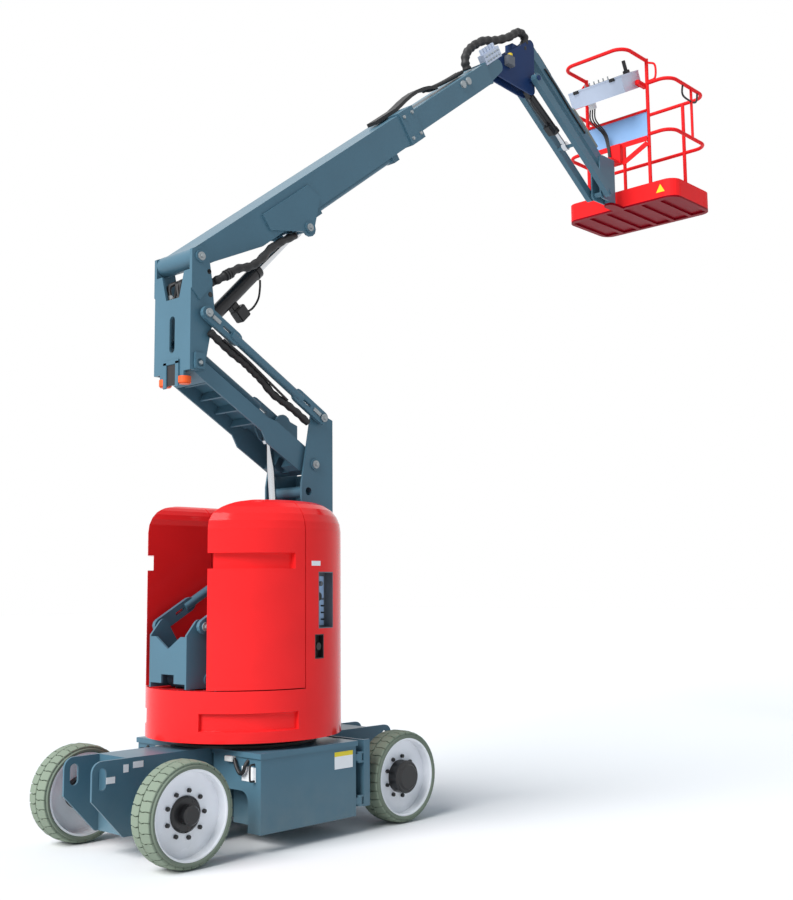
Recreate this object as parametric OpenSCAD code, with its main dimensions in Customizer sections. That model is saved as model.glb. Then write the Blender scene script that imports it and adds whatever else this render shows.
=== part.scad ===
// Articulating boom lift: a wheeled chassis, a turret with a two-stage riser,
// a telescopic boom, a jib and a rotating work platform. Lengths are in millimetres.
// +X points the way the boom reaches, +Z is up, and the origin is on the ground
// under the axis that the turret turns about.

/* [Wheels and axles] */
// Distance between the steered and the driven axle
wheelbase = 1650; // [1550:5:1750]
// Width over the outer faces of the tyres
overall_w = 1190; // [1170:5:1230]
// Outside diameter of a tyre
tyre_d = 560; // [550:2:570]
// Width of a tyre
tyre_w = 180; // [170:2:190]
// Diameter on which the tyre sits
rim_d = 472; // [464:2:478]
// Distance of a kingpin from the middle plane
kingpin_y = 350; // [342:1:356]
// Length of a steering arm
steer_arm_l = 160; // [150:1:170]

/* [Chassis] */
// Width over the two frame plates
frame_w = 290; // [270:2:300]
// Height of the underside of the frame
frame_low = 130; // [120:1:150]
// Height of the deck
frame_top = 545; // [535:1:550]
// Reach of the frame plates from the middle
frame_reach = 1150; // [1110:5:1200]
// Reach of the box part of the frame from the middle
frame_box = 930; // [900:5:950]
// Thickness of the frame plates
frame_t = 15; // [12:1:18]

/* [Battery trays] */
// Length of a tray
tray_l = 740; // [700:5:760]
// Height of the underside of a tray
tray_low = 106; // [96:1:120]
// Height of the rim of a tray
tray_top = 530; // [520:1:534]
// Distance of the tray's outer wall from the middle plane
tray_out = 585; // [575:1:587]
// Gap between the frame and a tray's inner wall
tray_gap = 20; // [15:1:30]
// Wall of a tray
tray_t = 6; // [4:0.5:8]

/* [Turret] */
// Radius of the covers
cover_r = 593; // [580:1:600]
// Height of the underside of the turret
turret_low = 585; // [582:1:590]
// Height of the top of the covers
cover_top = 1980; // [1940:5:2010]
// Height where the hinged hoods begin
hood_low = 885; // [870:1:895]
// Half of the width of the channel between the covers
channel_y = 292; // [286:1:300]
// Wall of a cover
cover_t = 8; // [6:0.5:10]
// Radius of the rounded top edge of the covers
cover_edge_r = 180; // [140:5:200]

/* [Riser] */
// Distance between the two pivots of a riser arm or link
arm_l = 1075; // [1060:1:1090]
// Slope of the riser arms
riser_angle = 30; // [20:1:40]
// Half of the gap between the plates that hold the arms
plate_in = 165; // [163:0.5:168]
// Thickness of those plates
plate_t = 14; // [12:0.5:16]
// Height of the mid knuckle between its two arm pivots
knuckle_rise = 772; // [760:1:790]
// Height of the boom pivot over the arm pivot on the upright
upright_rise = 644; // [630:1:660]

/* [Boom] */
// Slope of the boom
boom_angle = 37.2; // [30:0.2:45]
// Length of the outer boom from its pivot
boom_l = 2470; // [2420:5:2520]
// Width of the outer boom
boom_w = 284; // [270:2:288]
// Height of the outer boom
boom_h = 226; // [216:2:240]
// Wall of the outer boom
boom_t = 8; // [6:0.5:10]
// Width of the sliding fly section
fly_w = 240; // [230:2:248]
// Height of the fly section
fly_h = 166; // [160:2:176]
// Reach of the fly section beyond the outer boom
fly_out = 1125; // [1050:5:1200]

/* [Jib] */
// Length of the jib between its pivots
jib_l = 1290; // [1240:5:1320]
// Slope of the jib, downwards
jib_drop = 34.4; // [30:0.2:40]
// Distance between the upper and lower jib pivots
jib_rise = 315; // [300:1:330]

/* [Platform] */
// Length of the platform across the machine
platform_l = 1170; // [1120:5:1200]
// Depth of the platform along the boom
platform_d = 690; // [660:5:720]
// Height of the toe boards
toe_h = 176; // [150:2:190]
// Height of the top rail over the floor
rail_h = 1110; // [1100:5:1140]
// Diameter of the rail tubes
rail_d = 34; // [30:1:38]

/* [Hidden] */
$fn = 64;

// Clearances and the overrun of cuts
pin_fit = 0.05;
// Facets of the large round outlines
round_fn = 240;
slide_fit = 0.5;
seat_gap = 0.3;
over = 20;

// Colours of the finishes
grey_paint = "slategray";
red_paint = "red";
tyre_rubber = "darkkhaki";
rim_white = "whitesmoke";
black_steel = "dimgray";
chrome_steel = "silver";
bumper_orange = "orangered";

// Points of an arc about c, from angle a0 to a1, in straight steps
arc_steps = 6;
function arc(c, r, a0, a1) =
    [for (i = [0:arc_steps]) let (a = a0 + (a1 - a0) * i / arc_steps) c + r * [cos(a), sin(a)]];
// Outline of a rectangle with round corners, from its low and high corner
function round_box(low, high, r) = concat(
    arc([high[0] - r, high[1] - r], r, 0, 90), arc([low[0] + r, high[1] - r], r, 90, 180),
    arc([low[0] + r, low[1] + r], r, 180, 270), arc([high[0] - r, low[1] + r], r, 270, 360));
// Outline of a plate with round ends of radius r about the points a and b
function strap(a, b, r) = let (t = atan2(b[1] - a[1], b[0] - a[0]))
    concat(arc(a, r, t + 90, t + 270), arc(b, r, t - 90, t + 90));

// Builds for both sides of the middle plane, or for one of them
module both_sides() {
    children();
    mirror([0, 1, 0]) children();
}
module on_side(side) {
    if (side < 0) mirror([0, 1, 0]) children();
    else children();
}
// Plate from an outline in the XZ plane, its lower face at y
module slab(y, t) {
    translate([0, y + t, 0]) rotate([90, 0, 0]) linear_extrude(t) children();
}
// Round bar along Y from y, about the point p of the XZ plane
module bar_y(p, r, y, l) {
    translate([p[0], y, p[1]]) rotate([-90, 0, 0]) cylinder(r = r, h = l);
}
// Round bar across the middle plane, from -y to y
module cross_bar(p, r, y) {
    bar_y(p, r, -y, 2 * y);
}
// Box from its low to its high corner
module block(low, high) {
    translate(low) cube(high - low);
}
// Round bar between two points
module rod(a, b, r) {
    d = b - a;
    l = norm(d);
    translate(a) rotate([0, acos(d[2] / l), atan2(d[1], d[0])]) cylinder(r = r, h = l);
}

// Wheels and axles
axle_x = wheelbase / 2;
axle_z = tyre_d / 2;
track_y = (overall_w - tyre_w) / 2;
tyre_crown = 14;
tyre_shoulder = 26;
tyre_bead = 8;
rim_wall = 12;
rim_lip = 5;
disc_in = 4;
disc_t = 14;
hub_boss_r = 92;
hub_boss_in = 44;
steer_hub_r = 96;
steer_hub_t = 18;
steer_cap_r = 52;
steer_cap_t = 52;
drive_hub_r = 100;
drive_hub_t = 74;
hub_edge = 10;
spindle_r = 30;
spindle_end = 16;
drive_spindle_r = 45;
motor_r = 88;
motor_end = 28;
flange_r = 118;
flange_t = 18;
kingpin_r = 20;
kingpin_eye_r = 40;
eye_half = 50;
jaw_t = 20;
jaw_gap = 0.5;
stub_half = 50;
stub_end = 80;
steer_arm_w = 30;
steer_arm_t = 18;
steer_arm_drop = 45;
ball_r = 10;
ball_h = 20;
tie_eye_r = 22;
tie_r = 9;
tie_y = [kingpin_y, -kingpin_y];
tie_z = axle_z - steer_arm_drop + steer_arm_t + ball_h / 2 + jaw_gap;

// Tyre section: radius against width, with rounded shoulders
module tyre(end, side) {
    r = tyre_d / 2;
    h = tyre_w / 2;
    color(tyre_rubber) on_side(side) translate([end * axle_x, track_y, axle_z]) rotate([-90, 0, 0])
        rotate_extrude() polygon([[rim_d / 2, -h + tyre_bead], [rim_d / 2, h - tyre_bead],
            [rim_d / 2 + tyre_bead, h], [r - tyre_shoulder, h], [r - tyre_crown / 2, h - tyre_crown],
            [r, h - tyre_shoulder], [r, -h + tyre_shoulder], [r - tyre_crown / 2, -h + tyre_crown],
            [r - tyre_shoulder, -h], [rim_d / 2 + tyre_bead, -h]]);
}
// Dished wheel: a barrel, a disc set back from the outer lip, a hub boss and a hub cover
module wheel(end, side, bore_r, hub_r, hub_t, cap_r, cap_t) {
    h = tyre_w / 2 - tyre_bead;
    r = rim_d / 2;
    in_r = r - rim_wall;
    face = disc_in + disc_t;
    color(rim_white) on_side(side) translate([end * axle_x, track_y, axle_z]) rotate([-90, 0, 0])
        difference() {
            rotate_extrude() polygon([[0, -hub_boss_in], [hub_boss_r, -hub_boss_in], [hub_boss_r, disc_in],
                [in_r - disc_t, disc_in], [in_r, disc_in - disc_t], [in_r, -h], [r, -h], [r, h],
                [in_r + rim_lip, h], [in_r, h - rim_lip], [in_r, face], [hub_r, face],
                [hub_r, face + hub_t - hub_edge], [hub_r - hub_edge, face + hub_t], [cap_r, face + hub_t],
                [cap_r, face + hub_t + cap_t - hub_edge], [cap_r - hub_edge, face + hub_t + cap_t],
                [0, face + hub_t + cap_t]]);
            translate([0, 0, -hub_boss_in - over])
                cylinder(r = bore_r + pin_fit, h = hub_boss_in + over + spindle_end + jaw_gap);
        }
}
module steer_wheel(side) {
    wheel(-1, side, spindle_r, steer_hub_r, steer_hub_t, steer_cap_r, steer_cap_t);
}
module drive_wheel(side) {
    wheel(1, side, drive_spindle_r, drive_hub_r, drive_hub_t, drive_hub_r - 2 * hub_edge, hub_edge);
}
// Axle stubs with the jaws that hold the kingpins
module steer_axle() {
    jaw_z = eye_half + jaw_gap;
    color(grey_paint) both_sides() translate([-axle_x, 0, axle_z]) {
        block([-stub_half, frame_w / 2, -jaw_z - jaw_t], [stub_half, kingpin_y - stub_end, jaw_z + jaw_t]);
        for (low = [-jaw_z - jaw_t, jaw_z]) translate([0, kingpin_y, low]) linear_extrude(jaw_t)
            polygon(concat([[-stub_half, -stub_end], [stub_half, -stub_end]],
                arc([0, 0], stub_half, 0, 180)));
        translate([0, kingpin_y, -jaw_z]) cylinder(r = kingpin_r, h = 2 * jaw_z);
    }
}
// Steering knuckle with its spindle, steering arm and ball pin
module knuckle(side) {
    arm_low = -steer_arm_drop;
    color(black_steel) on_side(side) translate([-axle_x, kingpin_y, axle_z]) {
        difference() {
            union() {
                translate([0, 0, -eye_half]) cylinder(r = kingpin_eye_r, h = 2 * eye_half);
                bar_y([0, 0], spindle_r, 0, track_y - kingpin_y + spindle_end);
                translate([0, 0, arm_low]) linear_extrude(steer_arm_t)
                    polygon(concat([[0, steer_arm_w / 2], [0, -steer_arm_w / 2]],
                        arc([steer_arm_l, 0], steer_arm_w / 2, -90, 90)));
            }
            translate([0, 0, -eye_half - over])
                cylinder(r = kingpin_r + pin_fit, h = 2 * (eye_half + over));
        }
        translate([steer_arm_l, 0, arm_low]) cylinder(r = ball_r, h = steer_arm_t + ball_h);
    }
}
module tie_rod() {
    color(black_steel) difference() {
        union() {
            translate([steer_arm_l - axle_x, 0, tie_z])
                rod([0, tie_y[1] + ball_r, 0], [0, tie_y[0] - ball_r, 0], tie_r);
            for (y = tie_y) translate([steer_arm_l - axle_x, y, tie_z - ball_h / 2 + jaw_gap])
                cylinder(r = tie_eye_r, h = ball_h - 2 * jaw_gap);
        }
        for (y = tie_y) translate([steer_arm_l - axle_x, y, tie_z - ball_h])
            cylinder(r = ball_r + pin_fit, h = 2 * ball_h);
    }
}
// Drive units: a motor and gear case on each side, with the spindle of its wheel
module drive_axle() {
    color(black_steel) both_sides() translate([axle_x, 0, axle_z]) {
        bar_y([0, 0], flange_r, frame_w / 2, flange_t);
        bar_y([0, 0], motor_r, frame_w / 2, track_y - hub_boss_in - frame_w / 2 - motor_end);
        bar_y([0, 0], drive_spindle_r, frame_w / 2, track_y + spindle_end - frame_w / 2);
    }
}

// Chassis frame
frame_corner_r = 60;
frame_chamfer_l = 200;
frame_chamfer_h = 210;
lash_x = 62;
lash_z = 95;
lash_w = 52;
lash_l = 118;
tie_window_l = 130;
tie_window_h = 60;
post_x = 440;
post_t = 15;
post_low = 155;
post_flange_l = 34;
post_out = 594;
hinge_x = 418;
hinge_y = 570;
hinge_pin_r = 12;
hinge_eye_r = 22;
hinge_eye_h = 40;
hinge_lug_t = 12;
hinge_z_shares = [0.2, 0.8];
slew_r = 400;
slew_in_r = 330;
slew_flange_r = 440;
slew_flange_t = 14;

function tray_hinge_z(share) = tray_low + share * (tray_top - tray_low);
// Outline of a frame plate: round top corners, chamfered low corners
function frame_outline() = concat(
    arc([frame_reach - frame_corner_r, frame_top - frame_corner_r], frame_corner_r, 0, 90),
    arc([frame_corner_r - frame_reach, frame_top - frame_corner_r], frame_corner_r, 90, 180),
    [[-frame_reach, frame_low + frame_chamfer_h], [frame_chamfer_l - frame_reach, frame_low],
     [frame_reach - frame_chamfer_l, frame_low], [frame_reach, frame_low + frame_chamfer_h]]);

module chassis_frame() {
    side_y = frame_w / 2 - frame_t;
    tie_x = steer_arm_l - axle_x - tie_window_l / 3;
    color(grey_paint) {
        difference() {
            union() {
                both_sides() slab(side_y, frame_t) polygon(frame_outline());
                for (z = [frame_low, frame_top - frame_t])
                    block([-frame_box, -side_y, z], [frame_box, side_y, z + frame_t]);
                for (x = [-frame_box, frame_box - frame_t])
                    block([x, -side_y, frame_low + frame_t], [x + frame_t, side_y, frame_top - frame_t]);
            }
            for (x = [lash_x - frame_reach, frame_reach - lash_x])
                translate([x, frame_w, frame_top - lash_z]) rotate([90, 0, 0]) linear_extrude(2 * frame_w)
                    polygon(strap([0, (lash_w - lash_l) / 2], [0, (lash_l - lash_w) / 2], lash_w / 2));
            block([tie_x - tie_window_l / 2, -frame_w, tie_z - tie_window_h / 2],
                [tie_x + tie_window_l / 2, frame_w, tie_z + tie_window_h / 2]);
        }
        both_sides() {
            block([post_x, frame_w / 2, post_low], [post_x + post_t, post_out, frame_top]);
            block([post_x + post_t, post_out - post_t, post_low],
                [post_x + post_t + post_flange_l, post_out, frame_top]);
            for (share = hinge_z_shares) {
                z = tray_hinge_z(share);
                for (low = [z - hinge_eye_h / 2 - seat_gap - hinge_lug_t, z + hinge_eye_h / 2 + seat_gap])
                    translate([hinge_x, hinge_y, low]) linear_extrude(hinge_lug_t)
                        polygon(concat([[post_x - hinge_x, -hinge_eye_r], [post_x - hinge_x, hinge_eye_r]],
                            arc([0, 0], hinge_eye_r, 90, 270)));
                translate([hinge_x, hinge_y, z - hinge_eye_h / 2 - seat_gap])
                    cylinder(r = hinge_pin_r, h = hinge_eye_h + 2 * seat_gap);
            }
        }
    }
}
module slew_ring() {
    color(black_steel) difference() {
        union() {
            translate([0, 0, frame_top]) cylinder(r = slew_flange_r, h = slew_flange_t);
            translate([0, 0, frame_top]) cylinder(r = slew_r, h = turret_low - seat_gap - frame_top);
        }
        translate([0, 0, frame_top - over]) cylinder(r = slew_in_r, h = turret_low - frame_top + 2 * over);
    }
}

// Battery trays
tray_end = 38;
tray_in = frame_w / 2 + tray_gap;
lid_h = 30;
lid_over = 9;
arch_y_share = 0.74;
arch_h = 224;
arch_d = 150;
arch_r = 60;
battery_gap = 14;
battery_h = 300;

function tray_low_x() = hinge_x - tray_end - tray_l;
function arch_y() = tray_in + arch_y_share * (tray_out - tray_in);
// Wheel arch at the low inner corner of the end that faces the steered wheel
module arch_cut(grow) {
    translate([tray_low_x() - over, 0, 0]) rotate([90, 0, 90]) linear_extrude(arch_d + over + grow)
        polygon(concat([[0, 0], [arch_y() + grow, 0]],
            arc([arch_y() + grow - arch_r, tray_low + arch_h + grow - arch_r], arch_r, 0, 90),
            [[0, tray_low + arch_h + grow]]));
}
module tray(side) {
    x0 = tray_low_x();
    x1 = x0 + tray_l;
    color(grey_paint) on_side(side) {
        difference() {
            block([x0, tray_in, tray_low], [x1, tray_out, tray_top]);
            difference() {
                block([x0 + tray_t, tray_in + tray_t, tray_low + tray_t],
                    [x1 - tray_t, tray_out - tray_t, tray_top + over]);
                arch_cut(tray_t);
            }
            arch_cut(0);
        }
        for (share = hinge_z_shares) difference() {
            z = tray_hinge_z(share) - hinge_eye_h / 2;
            translate([hinge_x, hinge_y, z]) linear_extrude(hinge_eye_h)
                polygon(concat([[x1 - hinge_x, hinge_eye_r / 2], [x1 - hinge_x, -hinge_eye_r]],
                    arc([0, 0], hinge_eye_r, -90, 90)));
            translate([hinge_x, hinge_y, z - over])
                cylinder(r = hinge_pin_r + pin_fit, h = hinge_eye_h + 2 * over);
        }
    }
}
module tray_lid(side) {
    x0 = tray_low_x();
    color(grey_paint) on_side(side) difference() {
        block([x0 - lid_over, tray_in - lid_over, tray_top - lid_h / 2],
            [x0 + tray_l + lid_over, tray_out + lid_over, tray_top + lid_h / 2]);
        block([x0 - seat_gap, tray_in - seat_gap, tray_top - lid_h],
            [x0 + tray_l + seat_gap, tray_out + seat_gap, tray_top]);
    }
}
module battery(side) {
    x0 = tray_low_x() + arch_d + 2 * tray_t;
    color(black_steel) on_side(side)
        block([x0 + battery_gap, tray_in + tray_t + battery_gap, tray_low + tray_t],
            [x0 - arch_d + tray_l - 3 * tray_t - battery_gap, tray_out - tray_t - battery_gap,
             tray_low + tray_t + battery_h]);
}

// Turret frame and counterweight
base_r = 460;
base_t = 30;
riser_foot_x = -410;
riser_foot_z = 935;
link_set = -70;
link_rise = 305;
foot = [riser_foot_x, riser_foot_z];
foot_link = foot + [link_set, link_rise];
bracket_face = 572;
bracket_low = 887;
web_low = 915;
web_top = 1182;
dock_w = 120;
dock_h = 50;
bracket_top_r = 40;
bracket_back = 250;
bracket_leg = 384;
bracket_web_top = 1190;
ballast_room = 490;
notch_w = 120;
notch_h = 72;
arm_pin_r = 30;
link_pin_r = 24;
link_y = 215;
link_plate_t = 26;
link_pin_end = 8;
bolt_head_r = 38;
bolt_head_t = 10;
ballast_in_r = 430;
ballast_low = 590;
seam_x = -30;
seam_gap = 6;
pocket_low = 660;
pocket_h = 90;
pocket_d = 24;
pocket_from = 205;
pocket_to = 262;

module turret_frame() {
    color(grey_paint) {
        translate([0, 0, turret_low]) cylinder(r = base_r, h = base_t);
        both_sides() {
            slab(plate_in, plate_t) polygon(concat(
                [[-bracket_leg, turret_low + base_t], [-bracket_back, turret_low + base_t],
                 [-bracket_back, riser_foot_z]],
                arc(foot_link, bracket_top_r, 0, 135),
                [[-bracket_face, bracket_web_top], [-bracket_face, bracket_low],
                    [-bracket_leg, bracket_low]]));
            bar_y(foot_link, link_pin_r, plate_in, link_y + link_plate_t / 2 + link_pin_end - plate_in);
            bar_y(foot, bolt_head_r, plate_in + plate_t, bolt_head_t);
        }
        // Hinge pins of the hoods, on posts that stand on the ballast
        both_sides() translate([hood_hinge[0], hood_hinge[1], 0]) {
            translate([0, 0, hood_low - seam_gap])
                cylinder(r = hood_pin_r, h = groove_low - hood_low - 2 * over);
        }
        cross_bar(foot, arm_pin_r, plate_in);
        translate([-bracket_face, 0, 0]) rotate([90, 0, 90]) linear_extrude(plate_t)
            polygon([[-plate_in, web_low], [-dock_w / 2, web_low], [-dock_w / 2, web_low + dock_h],
                [dock_w / 2, web_low + dock_h], [dock_w / 2, web_low], [plate_in, web_low],
                    [plate_in, web_top],
                [notch_w, web_top], [0, web_top - notch_h], [-notch_w, web_top], [-plate_in, web_top]]);
    }
}
// Cast ballast round the rear half of the turret, with a long pocket on each side
module counterweight() {
    color(red_paint) difference() {
        rotate_extrude($fn = round_fn)
            polygon([[ballast_in_r, turret_low + base_t], [base_r + seat_gap, turret_low + base_t],
                [base_r + seat_gap, ballast_low], [cover_r, ballast_low], [cover_r, hood_low - seam_gap],
                [ballast_in_r, hood_low - seam_gap]]);
        block([seam_x, -cover_r - over, 0], [cover_r, cover_r + over, cover_top]);
        both_sides() rotate([0, 0, pocket_from]) rotate_extrude(angle = pocket_to - pocket_from)
            polygon([[cover_r - pocket_d, pocket_low], [cover_r + over, pocket_low - over / 2],
                [cover_r + over, pocket_low + pocket_h + over / 2],
                    [cover_r - pocket_d, pocket_low + pocket_h]]);
        // Room for the feet of the riser bracket
        block([-ballast_room, -plate_in - plate_t - over, ballast_low],
            [0, plate_in + plate_t + over, hood_low]);
    }
}

// Covers
groove_low = 1570;
groove_h = 90;
groove_d = 36;
groove_end = -105;
hood_hinge_in = 22;
hood_hinge_back = 48;
hood_pin_r = 6;
hood_eye_r = 13;
hood_eye_h = 60;
hood_hinge_z_shares = [0.1, 0.52];
panel_angle = -75;
panel_w = 150;
panel_low = 1225;
panel_h = 320;
panel_d = 60;
panel_t = 6;
switch_r = 14;
switch_h = 26;
switch_share = 0.8;
latch_angle = -82;
latch_low = 1050;
latch_h = 130;
latch_w = 70;
latch_d = 34;
latch_r = 22;

// Solid of a cover: round outside, flat channel wall, rounded top edge, shrunk by a wall
lip_r = 130;
module cover_solid(wall, low) {
    r = cover_r - wall;
    top = cover_top - wall;
    e = cover_edge_r - wall;
    intersection() {
        rotate_extrude($fn = round_fn) polygon(concat([[0, low], [r, low]],
            arc([r - e, top - e], e, 0, 90), [[0, top]]));
        // Side of the channel, rounded off at the top
        translate([-2 * cover_r, 0, 0]) rotate([90, 0, 90]) linear_extrude(4 * cover_r)
            polygon(concat([[channel_y + wall, low - over], [2 * cover_r, low - over],
                [2 * cover_r, cover_top + over], [channel_y + lip_r, cover_top + over]],
                arc([channel_y + lip_r, cover_top - lip_r], lip_r - wall, 90, 180)));
    }
}
// Ring for a groove round the hoods, up to end_x
module groove_ring(in_r, grow, end_x) {
    intersection() {
        rotate_extrude($fn = round_fn) polygon([[in_r, groove_low - grow],
            [cover_r + over, groove_low - grow],
            [cover_r + over, groove_low + groove_h + grow], [in_r, groove_low + groove_h + grow]]);
        block([-2 * cover_r, -2 * cover_r, 0], [end_x, 2 * cover_r, cover_top]);
    }
}
// Open shell of one cover
module cover_shell(low) {
    difference() {
        cover_solid(0, low);
        cover_solid(cover_t, low - over);
    }
}
// Open shell of a hood with its groove, which ends before the seam
module hood_shell() {
    difference() {
        cover_solid(0, hood_low);
        difference() {
            cover_solid(cover_t, hood_low - over);
            groove_ring(cover_r - groove_d - cover_t, cover_t, groove_end + cover_t);
        }
        groove_ring(cover_r - groove_d, 0, groove_end);
    }
}
hood_hinge = [-sqrt(cover_r * cover_r - channel_y * channel_y) + hood_hinge_back,
    channel_y + hood_hinge_in];
function hood_hinge_z(share) = hood_low + share * (cover_top - hood_low);

module hood(side) {
    color(red_paint) on_side(side) {
        intersection() {
            hood_shell();
            block([-2 * cover_r, 0, 0], [seam_x - seam_gap, 2 * cover_r, 2 * cover_top]);
        }
        for (share = hood_hinge_z_shares) difference() {
            translate([hood_hinge[0], hood_hinge[1], hood_hinge_z(share)]) union() {
                cylinder(r = hood_eye_r, h = hood_eye_h);
                block([-hood_eye_r / 2, -hood_hinge_in, 0], [hood_eye_r / 2, 0, hood_eye_h]);
            }
            translate([hood_hinge[0], hood_hinge[1], hood_hinge_z(share) - over])
                cylinder(r = hood_pin_r + pin_fit, h = hood_eye_h + 2 * over);
        }
    }
}
// Block at a cover's wall: at an angle round the turret, w wide, h high and d deep
module wall_block(a, w, low, h, d) {
    rotate([0, 0, a]) block([cover_r - d, -w / 2, low], [cover_r + over, w / 2, low + h]);
}
// Pan let into a cover's wall, flush with its outside
module wall_pan(a, w, low, h, d) {
    difference() {
        intersection() {
            wall_block(a, w + 2 * panel_t, low - panel_t, h + 2 * panel_t, d + panel_t);
            translate([0, 0, low - over]) cylinder(r = cover_r, h = h + 2 * over, $fn = round_fn);
        }
        wall_block(a, w, low, h, d);
    }
}
module rear_cover(side) {
    color(red_paint) difference() {
        on_side(side) intersection() {
            cover_shell(ballast_low);
            block([seam_x, 0, 0], [2 * cover_r, 2 * cover_r, 2 * cover_top]);
        }
        translate([0, 0, ballast_low - over])
            cylinder(r = base_r + seat_gap, h = turret_low + base_t + seat_gap - ballast_low + over);
        on_side(-side) wall_block(latch_angle, latch_w + 2 * panel_t, latch_low - panel_t,
            latch_h + 2 * panel_t, latch_d);
        if (side < 0) wall_block(panel_angle, panel_w + 2 * panel_t, panel_low - panel_t,
            panel_h + 2 * panel_t, panel_d);
    }
}
module ground_controls() {
    color(grey_paint) {
        wall_pan(panel_angle, panel_w, panel_low, panel_h, panel_d);
        rotate([0, 0, panel_angle]) translate([cover_r - panel_d, 0, panel_low + switch_share * panel_h])
            rotate([0, 90, 0]) cylinder(r = switch_r, h = switch_h);
    }
}
module hood_latches() {
    color(black_steel) both_sides() {
        wall_pan(latch_angle, latch_w, latch_low, latch_h, latch_d);
        rotate([0, 0, latch_angle]) translate([cover_r - latch_d, 0, latch_low + latch_h / 2])
            rotate([0, 90, 0])
            cylinder(r = latch_r, h = latch_d - panel_t);
    }
}

// Riser: two arms with links, a mid knuckle and an upright
function along(l, a) = [l * cos(a), l * sin(a)];
knuckle_set = -97;
upper_link_set = 30;
upper_link_rise = 300;
upright_set = -4;
mid_low = foot + along(arm_l, riser_angle);
mid_low_link = mid_low + [link_set, link_rise];
mid_arm = mid_low + [knuckle_set, knuckle_rise];
mid_link = mid_arm + [upper_link_set, upper_link_rise];
up_arm = mid_arm + [-arm_l * cos(riser_angle), arm_l * sin(riser_angle)];
up_link = up_arm + [upper_link_set, upper_link_rise];
boom_pivot = up_arm + [upright_set, upright_rise];
arm_half = 150;
arm_wall = 12;
arm_eye_r = 58;
arm_top = 72;
arm_bottom = 92;
arm_tip = 74;
arm_slim_r = 44;
arm_slim = 50;
arm_hump_in = 455;
arm_hump = arm_l - arm_hump_in;
link_r = 28;
link_head_l = 250;
link_head_r = 42;
link_slot_r = 9;
link_slot_from = 135;
link_slot_to = 190;
knuckle_eye_r = 66;
cross_tube_r = 36;
cross_tube_in_r = 26;
cross_tube_x = -54;
cross_tube_z = -175;

// Frames whose X axis runs along a riser piece
module rising(p) {
    translate([p[0], 0, p[1]]) rotate([0, -riser_angle, 0]) children();
}
module falling(p) {
    translate([p[0], 0, p[1]]) rotate([0, riser_angle, 0]) children();
}
// Side outline of a riser arm between its two eyes
function arm_outline(top, bottom) = concat(
    arc([0, 0], arm_eye_r, 90, 270), [[arm_tip, -bottom], [arm_l - arm_tip, -bottom]],
    arc([arm_l, 0], arm_eye_r, -90, 90), [[arm_l - arm_tip, top], [arm_tip, top]]);
// Side outline of the upper arm: slim at the upright, deep at the mid knuckle
function upper_outline() = concat(
    arc([0, 0], arm_slim_r, 90, 270),
        [[arm_tip, -arm_slim], [arm_hump, -arm_slim], [arm_hump + arm_tip, -arm_bottom],
    [arm_l - arm_tip, -arm_bottom]], arc([arm_l, 0], arm_eye_r, -90, 90),
    [[arm_l - arm_tip, arm_top], [arm_hump + arm_tip, arm_top], [arm_hump, arm_slim], [arm_tip, arm_slim]]);

riser_low_in = 275;
riser_low_at = arm_l - riser_low_in;
riser_top_in = 295;
riser_top_at = arm_l - riser_top_in;
riser_top_up = 45;
riser_gap_l = 220;
riser_gap_w = 124;
rod_slot_w = 68;
rod_slot_in = 59;
rod_slot_end = arm_l - rod_slot_in;
rod_slot_top = 8;
riser_eye_r = 34;
riser_pin_r = 20;
riser_eye_w = 60;
riser_lug_t = 14;

// Arm of the lower stage: a channel that is open at the top
module lower_arm() {
    color(grey_paint) difference() {
        rising(foot) difference() {
            slab(-arm_half, 2 * arm_half) polygon(arm_outline(arm_top, arm_bottom));
            block([arm_tip + arm_eye_r, -arm_half + arm_wall, arm_wall - arm_bottom],
                [arm_l - arm_tip - arm_eye_r, arm_half - arm_wall, arm_top + over]);
            cross_bar([0, 0], arm_pin_r + pin_fit, 2 * arm_half);
            cross_bar([arm_l, 0], arm_pin_r + pin_fit, 2 * arm_half);
        }
    }
    color(grey_paint) rising(foot) both_sides() difference() {
        slab(riser_eye_w / 2 + slide_fit, riser_lug_t)
            polygon([[riser_low_at - 2 * riser_eye_r, arm_wall - arm_bottom],
                [riser_low_at + 2 * riser_eye_r, arm_wall - arm_bottom],
                [riser_low_at + riser_eye_r, riser_eye_r], [riser_low_at - riser_eye_r, riser_eye_r]]);
    }
    color(chrome_steel) rising(foot) cross_bar([riser_low_at, 0], riser_pin_r, riser_eye_w / 2 + slide_fit);
}
// One tubular link with a flat slotted head at each end
module link_bar() {
    difference() {
        union() {
            translate([link_head_l - link_head_r, 0, 0]) rotate([0, 90, 0])
                cylinder(r = link_r, h = arm_l - 2 * (link_head_l - link_head_r));
            slab(-link_plate_t / 2, link_plate_t) polygon(strap([0, 0], [link_head_l, 0], link_head_r));
            slab(-link_plate_t / 2, link_plate_t)
                polygon(strap([arm_l - link_head_l, 0], [arm_l, 0], link_head_r));
        }
        for (x = [0, arm_l]) cross_bar([x, 0], link_pin_r + pin_fit, link_plate_t + over);
        for (x = [link_slot_from, arm_l - link_slot_to]) slab(-link_plate_t, 2 * link_plate_t)
            polygon(strap([x, 0], [x + link_slot_to - link_slot_from, 0], link_slot_r));
    }
}
module lower_links() {
    color(grey_paint) rising(foot_link) both_sides() translate([0, link_y, 0]) link_bar();
}
module upper_links() {
    color(grey_paint) falling(up_link) both_sides() translate([0, link_y, 0]) link_bar();
}
knuckle_back = 60;
knuckle_foot_r = 62;
knuckle_waist = 114;
waist_low = 224;
waist_high = 129;
shin_set = 121;
shin_rise = 228;
knuckle_web_t = 12;
knuckle_web_low = 90;
knuckle_web_top = 730;

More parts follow.
